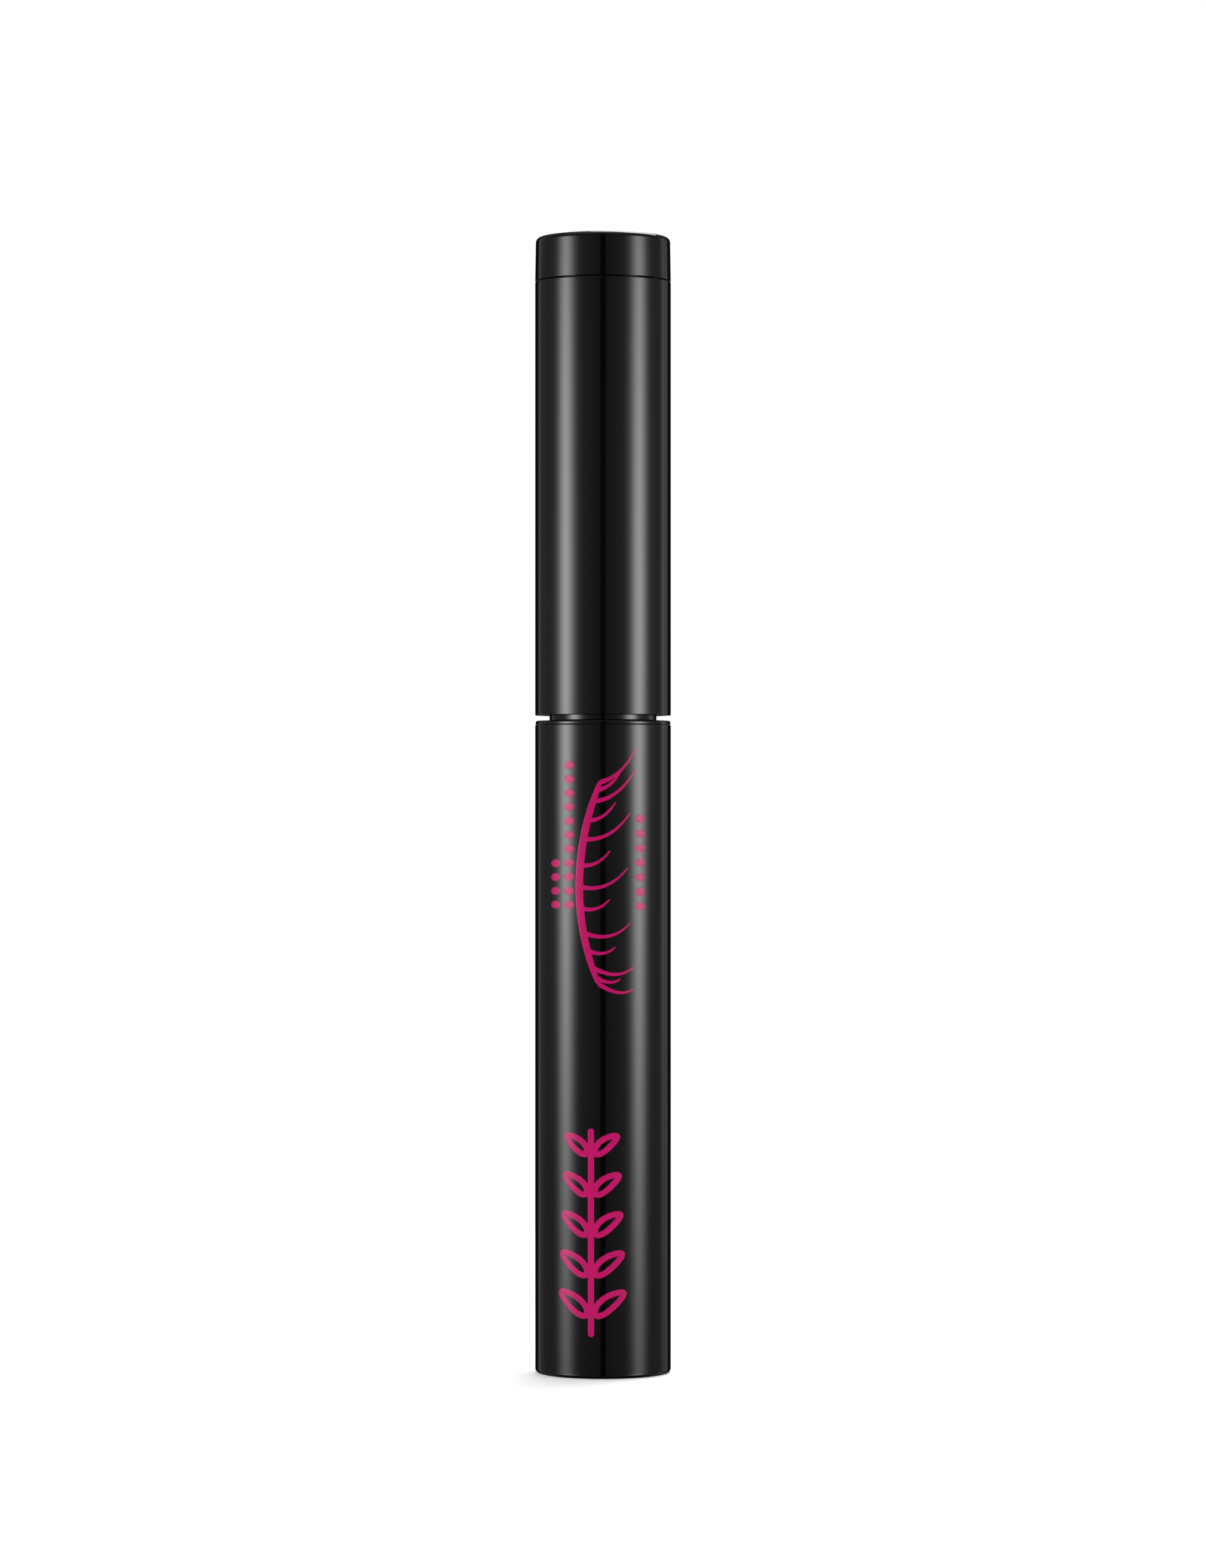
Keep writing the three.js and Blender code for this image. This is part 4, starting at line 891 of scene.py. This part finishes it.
class MASCARA_OT_stem(Maker):
    """Makes the hollow stem, the brush's collar and the shaft."""

    bl_idname = "mascara.stem"
    bl_label = "Stem and collar"

    def make(self, sizes):
        """Makes the stem, the collar and the shaft, whose sizes all come from the frame."""
        self.stem()
        self.collar()
        self.shaft()

    def stem(self):
        """A hollow bar turned about Z, with a flange above, that narrows to a rounded end."""
        tip, top = extent("stem")
        flange_r = half_width("stem")
        flange = top - 1.0 * MM
        bore_r, stem_r = radii("stem", tip - 0.1 * MM, flange - 0.5 * MM)
        tip_r = 2.08 * MM
        profile = rounded([
            (bore_r, tip, 0.06 * MM),
            (tip_r, tip, 0.38 * MM),
            (stem_r, tip + 5 * MM, 6 * MM),
            (stem_r, flange, 0.15 * MM),
            (flange_r, flange, 0.1 * MM),
            (flange_r, top, 0.15 * MM),
            (bore_r, top, 0.1 * MM),
        ], closed=True, steps=9)
        stem = [turned(profile, 128, closed=True)]
        add_piece("pink_stem", stem, "neon_pink", "cap", "hot_pink", "stem")

    def collar(self):
        """A hub turned about Z: a stub that the brush sits on, a collar with two beads, and a bore for
        the shaft."""
        low, high = extent("brush_hub")
        collar = high - 1.2 * MM
        collar_r = half_width("brush_hub")
        stub_r = radii_at("brush_hub", low)[1]
        hole_r = half_width("drive_shaft") + 0.05 * MM
        hole_floor = low + 1.9 * MM
        hub = rounded([
            (0, low, 0),
            (stub_r, low, 0.1 * MM),
            (stub_r, collar, 0.1 * MM),
            (collar_r - 0.1 * MM, collar, 0.22 * MM),
            (collar_r - 0.02 * MM, collar + 0.42 * MM, 0.2 * MM),
            (collar_r - 0.32 * MM, collar + 0.58 * MM, 0.05 * MM),
            (collar_r - 0.02 * MM, collar + 0.74 * MM, 0.18 * MM),
            (collar_r - 0.06 * MM, high, 0.16 * MM),
            (hole_r, high, 0.04 * MM),
            (hole_r, hole_floor, 0),
            (0, hole_floor, 0),
        ])
        add_piece("brush_collar", [turned(hub, 96)], "satin_black", "brush", "brush_black", "brush_hub")

    def shaft(self):
        """A round bar turned about Z."""
        low, high = extent("drive_shaft")
        shaft_r = half_width("drive_shaft")
        bar = rounded([(0, low), (shaft_r, low, 0.12 * MM), (shaft_r, high, 0.12 * MM), (0, high)])
        add_piece("shaft", [turned(bar, 64)], "steel", "brush", "steel", "drive_shaft")


class MASCARA_OT_brush(Maker):
    """Makes the spiked brush, coated with mascara, with two small horns on its tip."""

    bl_idname = "mascara.brush"
    bl_label = "Brush"

    # How far above the horns' points the paste's own tip and the first ring are, and the length that
    # the rings leave free at both ends together.
    crown = 0.75 * MM
    first_ring = 3.5 * MM
    bare_length = 5.6 * MM

    def rings(self, sizes):
        """Heights of the rings of spikes, measured where they cross the axis."""
        ringed = BRUSH_TOP - BRUSH_TIP - self.bare_length
        numbers = np.arange(int(ringed / sizes.ring_step) + 1)
        return BRUSH_TIP + self.first_ring + sizes.ring_step * numbers

    def lumps(self, angle, level, around, pitch, seed):
        """Smooth random lumps from -1 to 1: a lattice of random values, around of them in a turn and one
        each pitch in height, blended with a smooth step between neighbours."""
        column = (angle / (2 * math.pi) % 1) * around
        row = (level - BRUSH_TIP) / pitch
        lattice = np.random.default_rng(seed).uniform(-1, 1, (int(row.max()) + 2, around))
        left, low = np.floor(column).astype(int) % around, np.floor(row).astype(int)
        right, high = (left + 1) % around, low + 1
        across, up = smooth_step(column % 1), smooth_step(row % 1)
        below = lattice[low, left] * (1 - across) + lattice[low, right] * across
        above = lattice[high, left] * (1 - across) + lattice[high, right] * across
        return below * (1 - up) + above * up

    def coat(self, sizes, angle, level):
        """Radius of the paste at an angle and a height along the tilted rings: a bullet shape with
        uneven lumps, wound grooves by the collar, and a web that rises along each ring to a concave
        peak at each spike's foot. Lumps and web fade out over the last 1.4 mm of the crown."""
        depth = (level - BRUSH_TIP) / MM
        depths = [self.crown / MM, 0.80, 0.95, 1.3, 2.0, 3.2, 5.0, 14, 22.0, 24.6, 26.6, 28.0, 29.2]
        widths = [0, 0.40, 0.82, 1.22, 1.68, 2.12, 2.38, 2.42, 2.36, 2.22, 1.96, 1.80, 1.72]
        body = np.interp(depth, depths, widths) * MM
        ends = np.clip((depth - self.crown / MM) / 1.4, 0, 1)
        lumps = 0.130 * self.lumps(angle, level, 14, 1.45 * MM, 3)
        lumps += 0.100 * self.lumps(angle + 0.35 * depth, level, 26, 0.80 * MM, 5)
        lumps += 0.055 * self.lumps(angle, level, 52, 0.42 * MM, 9)
        wound = np.clip((depth - 25.6) / 1.6, 0, 1) * np.sin(depth * 9 + 0.8 * np.sin(2 * angle))
        gap = np.abs(level[..., None] - self.rings(sizes))
        nearest, distance = gap.argmin(-1), gap.min(-1) / MM
        web = 0.20 * np.exp(-distance / 0.24)
        radius = body + (lumps + 0.045 * wound + web) * MM * ends
        step = 2 * math.pi / sizes.spikes_per_ring
        turn = angle - (nearest % 2) * step / 2
        off = np.abs((turn + step / 2) % step - step / 2) * radius / MM
        peak = 0.95 * np.exp(-np.hypot(off / 0.24, distance / 0.33))
        return radius + peak * MM * ends

    def make(self, sizes):
        """The paste is a radius over a grid of angles and heights, which are drawn closer together at
        the spikes. Each height then leans with the rings, by an amount that fades over the last 2.2 mm
        at both ends, and the last row closes the body at the collar."""
        step = 2 * math.pi / sizes.spikes_per_ring
        rings = self.rings(sizes)
        # Twelve steps from -1 that crowd round 0, where a spike is.
        spots = np.linspace(-1, 1, 13)[:-1]
        pull = np.sign(spots) * np.abs(spots) ** 1.7
        angle = (np.arange(2 * sizes.spikes_per_ring)[:, None] * step / 2 + pull * step / 4).ravel()
        inner = (rings[:, None] + pull * sizes.ring_step / 2).ravel()
        crown = BRUSH_TIP + self.crown
        fade = 2.2 * MM
        before = np.linspace(0, 1, 22)[:-1] ** 1.6 * (inner[0] - crown) + crown
        after = np.linspace(inner[-1], BRUSH_TOP, 34)[1:]
        level = np.concatenate([before, inner, after])
        angles, levels = np.meshgrid(angle, level)
        radius = self.coat(sizes, angles, levels)
        tilt = math.tan(sizes.ring_tilt)
        inside = np.clip((levels - crown) / fade, 0, 1) * np.clip((BRUSH_TOP - levels) / fade, 0, 1)
        height = levels + radius * tilt * np.cos(angles) * inside
        height = np.clip(height, crown, BRUSH_TOP)
        points = np.stack([radius * np.cos(angles), radius * np.sin(angles), height], -1)
        closing = np.zeros((1, len(angle), 3))
        closing[..., 2] = BRUSH_TOP
        points = np.concatenate([points, closing])
        body = (points.reshape(-1, 3), grid_quads(len(points), len(angle)))
        sheets = [body, self.spikes(sizes, rings, tilt), *self.horns()]
        add_piece(
            "coated_brush", sheets, "mascara_cream", "brush", "brush_black", "brush_head", sharp_degrees=75
        )

    def spikes(self, sizes, rings, tilt):
        """All spikes at once, as arrays of ring, spike, place along the spike and place around it. Each
        is a thin cone in its ring's tilted plane, with a slight bend, an uneven thickness and on some a
        blob near the point."""
        random = np.random.default_rng(11)
        count = sizes.spikes_per_ring
        shape = (len(rings), count, 1, 1)
        step = 2 * math.pi / count
        odd = (np.arange(len(rings)) % 2)[:, None]
        angle = (np.arange(count) * step + odd * step / 2)[:, :, None, None]
        cuts, sides = 15, 9
        along = np.linspace(0, 1, cuts)[None, None, :, None]
        around = np.linspace(0, 2 * math.pi, sides, endpoint=False)[None, None, None, :]
        root = 2.0 * MM
        length = (half_width("brush_head") - root) * random.uniform(0.88, 1.0, shape)
        distance = root + length * along
        bend = random.uniform(-0.30, 0.20, shape) * MM * along**2
        side = random.uniform(-0.20, 0.20, shape) * MM * along**2
        knots = 1 + 0.45 * np.sin(along * random.uniform(9, 22, shape) + random.uniform(0, 6, shape))
        blob = random.uniform(-0.12, 0.13, shape).clip(0) * np.exp(-(((along - 0.90) / 0.07) ** 2))
        thick = (0.32 * (1 - along) ** 1.3 + 0.056 * knots + blob) * MM * np.sqrt(1 - along**6)
        level = rings[:, None, None, None] + distance * tilt * np.cos(angle) + bend
        off = side + thick * np.cos(around)
        x = distance * np.cos(angle) - off * np.sin(angle)
        y = distance * np.sin(angle) + off * np.cos(angle)
        z = level + thick * np.sin(around)
        points = np.stack(np.broadcast_arrays(x, y, z), -1)
        points[:, :, 0] = points[:, :, 0].mean(2, keepdims=True)
        starts = np.arange(len(rings) * count)[:, None, None] * (cuts * sides)
        quads = grid_quads(cuts, sides)[None] + starts
        return points.reshape(-1, 3), quads.reshape(-1, 4)

    def horns(self):
        """Two pulled-up peaks of paste on the tip, as bars with a concave taper."""
        share = np.linspace(0, 1, 12)[:, None]
        for heading, lean in ((0.3, 0.68), (math.pi + 0.1, 0.76)):
            outward = np.array([math.cos(heading), math.sin(heading), 0])
            base = outward * (lean - 0.12) * MM + np.array([0, 0, BRUSH_TIP + 1.75 * MM])
            tip = outward * (lean + 0.06) * MM + np.array([0, 0, BRUSH_TIP + 0.02 * MM])
            thick = 0.85 * MM * (1 - share[:, 0]) ** 1.15 + 0.02 * MM
            yield swept(base + (tip - base) * share, thick, 12, (0, 1, 0))


class MASCARA_OT_power(Maker):
    """Makes the two button cells and the coil that presses on them."""

    bl_idname = "mascara.power"
    bl_label = "Cells and coil"

    def make(self, sizes):
        """Makes two equal cells and the coil, whose sizes all come from the frame."""
        self.cell("button_cell_low", "cell_lower")
        self.cell("button_cell_high", "cell_upper")
        self.coil()

    def cell(self, name, node):
        """A turned can with a crimped, stepped smaller end."""
        low, high = extent(node)
        cell_r = half_width(node)
        lid_r = cell_r - 0.6 * MM
        step = high - 0.45 * MM
        profile = rounded([
            (0, low, 0),
            (cell_r - 0.5 * MM, low, 0.1 * MM),
            (cell_r, low + 0.1 * MM, 0.25 * MM),
            (cell_r, step, 0.3 * MM),
            (lid_r + 0.12 * MM, step + 0.1 * MM, 0.08 * MM),
            (lid_r + 0.08 * MM, step - 0.02 * MM, 0.03 * MM),
            (lid_r, step, 0.03 * MM),
            (lid_r - 0.05 * MM, high, 0.15 * MM),
            (0, high, 0),
        ])
        add_piece(name, [turned(profile, 96)], "cell_steel", "cap", "steel", node)

    def coil(self):
        """A round wire carried along a conical helix, which is level near both ends."""
        low, high = extent("contact_spring")
        wire = 0.22 * MM
        turns, level = 3, 0.12
        share = np.linspace(0, 1, 260)
        climb = np.clip((share - level) / (1 - 2 * level), 0, 1)
        radius = (1.5 + 1.1 * share) * MM
        turn = share * turns * 2 * math.pi
        height = low + wire + (high - low - 2 * wire) * climb
        path = np.stack([radius * np.cos(turn), radius * np.sin(turn), height], -1)
        coil = [swept(path, wire, 12)]
        add_piece(
            "coil_contact", coil, "cell_steel", "end_cap", "steel", "contact_spring", sharp_degrees=80
        )


class MASCARA_OT_drive(Maker):
    """Gives the motor, gears, holders and contacts their finishes."""

    bl_idname = "mascara.drive"
    bl_label = "Drive finishes"

    finishes = {
        "steel": ["motor_can", "motor_shaft", "cell_contact", "motor_strip", "return_strip", "end_contact"],
        "brass": ["stem_bush", "sun_gear", "motor_bush", "terminal_front", "terminal_back"],
        "copper": ["armature", "commutator"],
        "gear_white": ["ring_gear", "input_carrier", "output_carrier"]
        + [f"planet_{stage}_{number}" for stage in ("input", "output") for number in (1, 2, 3)],
        "frame_grey": ["gearbox_base", "gearbox_lid", "end_bell", "motor_mount", "battery_holder"],
        "magnet_grey": ["magnet_left", "magnet_right"],
        "board_green": ["switch_board"],
        "seal_rubber": ["shaft_seal"],
        "satin_black": ["switch_base"],
    }

    def make(self, sizes):
        """Each CAD piece keeps its shape and gets one procedural finish."""
        for finish, nodes in self.finishes.items():
            for node in nodes:
                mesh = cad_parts[node].data
                mesh.materials.clear()
                mesh.materials.append(finish_of(finish))


# ------------------------------------------------------------------ studio
def glow_material(name, strength):
    """An emitting surface. The strength is a number, or a function of the nodes and the place on the
    piece that gives a socket."""
    material = bpy.data.materials.new(name)
    nodes = Nodes(material)
    if callable(strength):
        strength = strength(nodes, nodes.spot())
    nodes.finish(nodes.shader("ShaderNodeEmission", {"Strength": strength}))
    return material


class MASCARA_OT_stage(Maker):
    """Makes the floor, the light tent, the lights and the camera."""

    bl_idname = "mascara.stage"
    bl_label = "Stage"

    sides = 96
    tent_r = 0.45
    tent_low, tent_high = -0.45, 0.75
    # Angles from the camera, widths and levels of the two soft boxes, of the halo round them and of the
    # faint strip on the right, then heights, spreads and a level of their upper and lower parts.
    boxes = (math.radians(-65), math.radians(63))
    box_width, left_level, right_level = math.radians(9.3), 7.0, 6.44
    halo_width, halo_level = 0.42, 0.40
    edge_angle, edge_width, edge_level = math.radians(123), 0.09, 0.45
    box_z, box_spread = 0.115, 0.098
    low_z, low_spread, low_level = -0.20, 0.055, 0.6
    aim = Vector((0, 0, 0.075))

    def tent_light(self, nodes, spot):
        """Two soft boxes left and right of the camera, each a narrow bell curve in angle over a wide
        one, and a faint strip, all times bell curves in height, over a faint wrap."""
        axes = nodes.add("ShaderNodeSeparateXYZ", {0: spot}).outputs
        angle = nodes.math("ARCTAN2", axes[0], nodes.product(axes[1], -1.0))
        left, right = (nodes.bell(angle, centre, self.box_width) for centre in self.boxes)
        halo = nodes.sum(*(nodes.bell(angle, centre, self.halo_width) for centre in self.boxes))
        edge = nodes.bell(angle, self.edge_angle, self.edge_width)
        across = nodes.sum(
            nodes.product(left, self.left_level),
            nodes.product(right, self.right_level),
            nodes.product(halo, self.halo_level),
            nodes.product(edge, self.edge_level),
        )
        low_part = nodes.product(nodes.bell(axes[2], self.low_z, self.low_spread), self.low_level)
        tall = nodes.sum(nodes.bell(axes[2], self.box_z, self.box_spread), low_part)
        turn = nodes.math("DIVIDE", nodes.math("ABSOLUTE", angle), math.pi)
        return nodes.sum(nodes.product(across, tall), self.wrap(nodes, turn))

    def wrap(self, nodes, turn):
        """The faint wrap: a level at each share of the half turn from the camera to the back, dark in
        front of the camera and beside the backdrop."""
        levels = ((0.0, 0.0), (0.018, 0.0), (0.030, 0.13), (0.10, 0.15), (0.70, 0.17),
                  (0.77, 0.30), (0.80, 0.02), (0.93, 0.0), (1.0, 0.12))
        ramp = nodes.add("ShaderNodeValToRGB", {0: turn})
        stops = ramp.color_ramp.elements
        while len(stops) < len(levels):
            stops.new(0.5)
        for stop, (position, level) in zip(stops, levels):
            stop.position = position
            stop.color = (level, level, level, 1)
        return ramp.outputs[0]

    def tent(self):
        """A cylinder round the tube, with a lid and a ground, that only reflections and soft light
        see."""
        low, high, wall_r = self.tent_low, self.tent_high, self.tent_r
        cards = (
            ("tent_wall", "tent_light", self.tent_light, ((wall_r, low), (wall_r, high))),
            ("tent_lid", "lid_light", 0.5, ((0.0, high), (wall_r, high))),
            ("tent_ground", "ground_light", 0.05, ((0.0, low), (wall_r, low))),
        )
        for name, light, strength, profile in cards:
            card = make_piece(name, [turned(profile, self.sides)], glow_material(light, strength))
            card.visible_camera = False
            card.visible_shadow = False

    def floor(self):
        """A pale disc that fades into the white of the backdrop, so it has no visible edge. It lies
        just under the tube's foot."""
        fade_from, fade_to, disc_r = 0.06, 0.26, 0.4
        floor_z = -0.02 * MM
        material = bpy.data.materials.new("pale_floor")
        nodes = Nodes(material)
        spot = nodes.spot()
        far = nodes.add("ShaderNodeVectorMath", {0: spot}, operation="LENGTH").outputs["Value"]
        grain = nodes.noise(spot, 300.0, 3.0)
        paint = {
            "Base Color": nodes.blend(grain, (0.80, 0.80, 0.81), (0.84, 0.84, 0.85)),
            "Roughness": 0.6,
            "Emission Color": (1, 1, 1, 1),
            "Emission Strength": 0.20,
        }
        near = nodes.shader("ShaderNodeBsdfPrincipled", paint)
        white = nodes.shader("ShaderNodeEmission", {"Strength": 1.0})
        fade = nodes.span(far, 0.0, 1.0, fade_from, fade_to)
        nodes.finish(nodes.shader("ShaderNodeMixShader", {0: fade, 1: near, 2: white}))
        disc = turned(((0.0, floor_z), (disc_r, floor_z)), self.sides)
        floor = make_piece("floor", [disc], material)
        floor.visible_glossy = False

    def lamp(self, name, spot, size, power):
        """A square lamp, aimed at the tube, that isn't seen in the gloss."""
        data = bpy.data.lights.new(name, "AREA")
        data.size = size
        data.energy = power
        lamp = bpy.data.objects.new(name, data)
        bpy.context.scene.collection.objects.link(lamp)
        lamp.location = spot
        lamp.rotation_euler = (self.aim - Vector(spot)).to_track_quat("-Z", "Y").to_euler()
        lamp.visible_glossy = False
        lamp.visible_camera = False
        return lamp

    def backdrop(self):
        """A plain white world."""
        world = bpy.data.worlds.new("white_backdrop")
        nodes = Nodes(world)
        white = nodes.shader("ShaderNodeBackground", {"Color": (1, 1, 1, 1), "Strength": 1.0})
        nodes.finish(white, "ShaderNodeOutputWorld")
        bpy.context.scene.world = world

    def camera(self):
        """A long lens at the middle of the tube's height, level, far in front of the print."""
        data = bpy.data.cameras.new("camera")
        data.lens = 113.3
        data.sensor_width = 36.0
        data.shift_y = 0.0178
        data.clip_end = 10.0
        camera = bpy.data.objects.new("camera", data)
        bpy.context.scene.collection.objects.link(camera)
        camera.location = (0, -0.64, 0.0726)
        camera.rotation_euler = (math.radians(90), 0, 0)
        bpy.context.scene.camera = camera

    def make(self, sizes):
        """The back lamp is the only one that shows in the gloss, where it draws the dish's edge."""
        self.tent()
        self.floor()
        self.lamp("front_fill", (-0.25, -0.60, 0.42), 0.30, 2.2)
        self.lamp("back_fill", (0.12, 0.26, 0.55), 0.30, 1.7).visible_glossy = True
        self.lamp("top_fill", (0.05, 0.12, 0.70), 0.30, 4.0)
        self.backdrop()
        self.camera()
        bpy.context.scene.view_settings.view_transform = "Standard"
        bpy.context.scene.view_settings.look = "None"


MAKERS = (
    MASCARA_OT_bottle,
    MASCARA_OT_neck,
    MASCARA_OT_print,
    MASCARA_OT_cap_sleeve,
    MASCARA_OT_end_cap,
    MASCARA_OT_button,
    MASCARA_OT_liner,
    MASCARA_OT_stem,
    MASCARA_OT_brush,
    MASCARA_OT_power,
    MASCARA_OT_drive,
    MASCARA_OT_stage,
)


class MASCARA_PT_panel(bpy.types.Panel):
    """Lists the operators with the sizes and colours that they use."""

    bl_idname = "MASCARA_PT_panel"
    bl_label = "Rotating mascara"
    bl_space_type = "VIEW_3D"
    bl_region_type = "UI"
    bl_category = "Mascara"

    def draw(self, context):
        """One row for each property, then one for each operator."""
        column = self.layout.column(align=True)
        for group in (context.scene.mascara_sizes, context.scene.mascara_finishes):
            for name in group.__annotations__:
                column.prop(group, name)
        for maker in MAKERS:
            column.operator(maker.bl_idname)


CLASSES = (MascaraSizes, MascaraFinishes, *MAKERS, MASCARA_PT_panel)


def register():
    """Adds the classes and the scene's two property groups."""
    for cls in CLASSES:
        bpy.utils.register_class(cls)
    bpy.types.Scene.mascara_sizes = PointerProperty(type=MascaraSizes)
    bpy.types.Scene.mascara_finishes = PointerProperty(type=MascaraFinishes)


def unregister():
    """Takes away what register added."""
    del bpy.types.Scene.mascara_finishes
    del bpy.types.Scene.mascara_sizes
    for cls in reversed(CLASSES):
        bpy.utils.unregister_class(cls)


def main():
    """Registers the classes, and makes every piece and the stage."""
    register()
    for maker in MAKERS:
        family, action = maker.bl_idname.split(".")
        getattr(getattr(bpy.ops, family), action)()


if __name__ == "__main__":
    main()
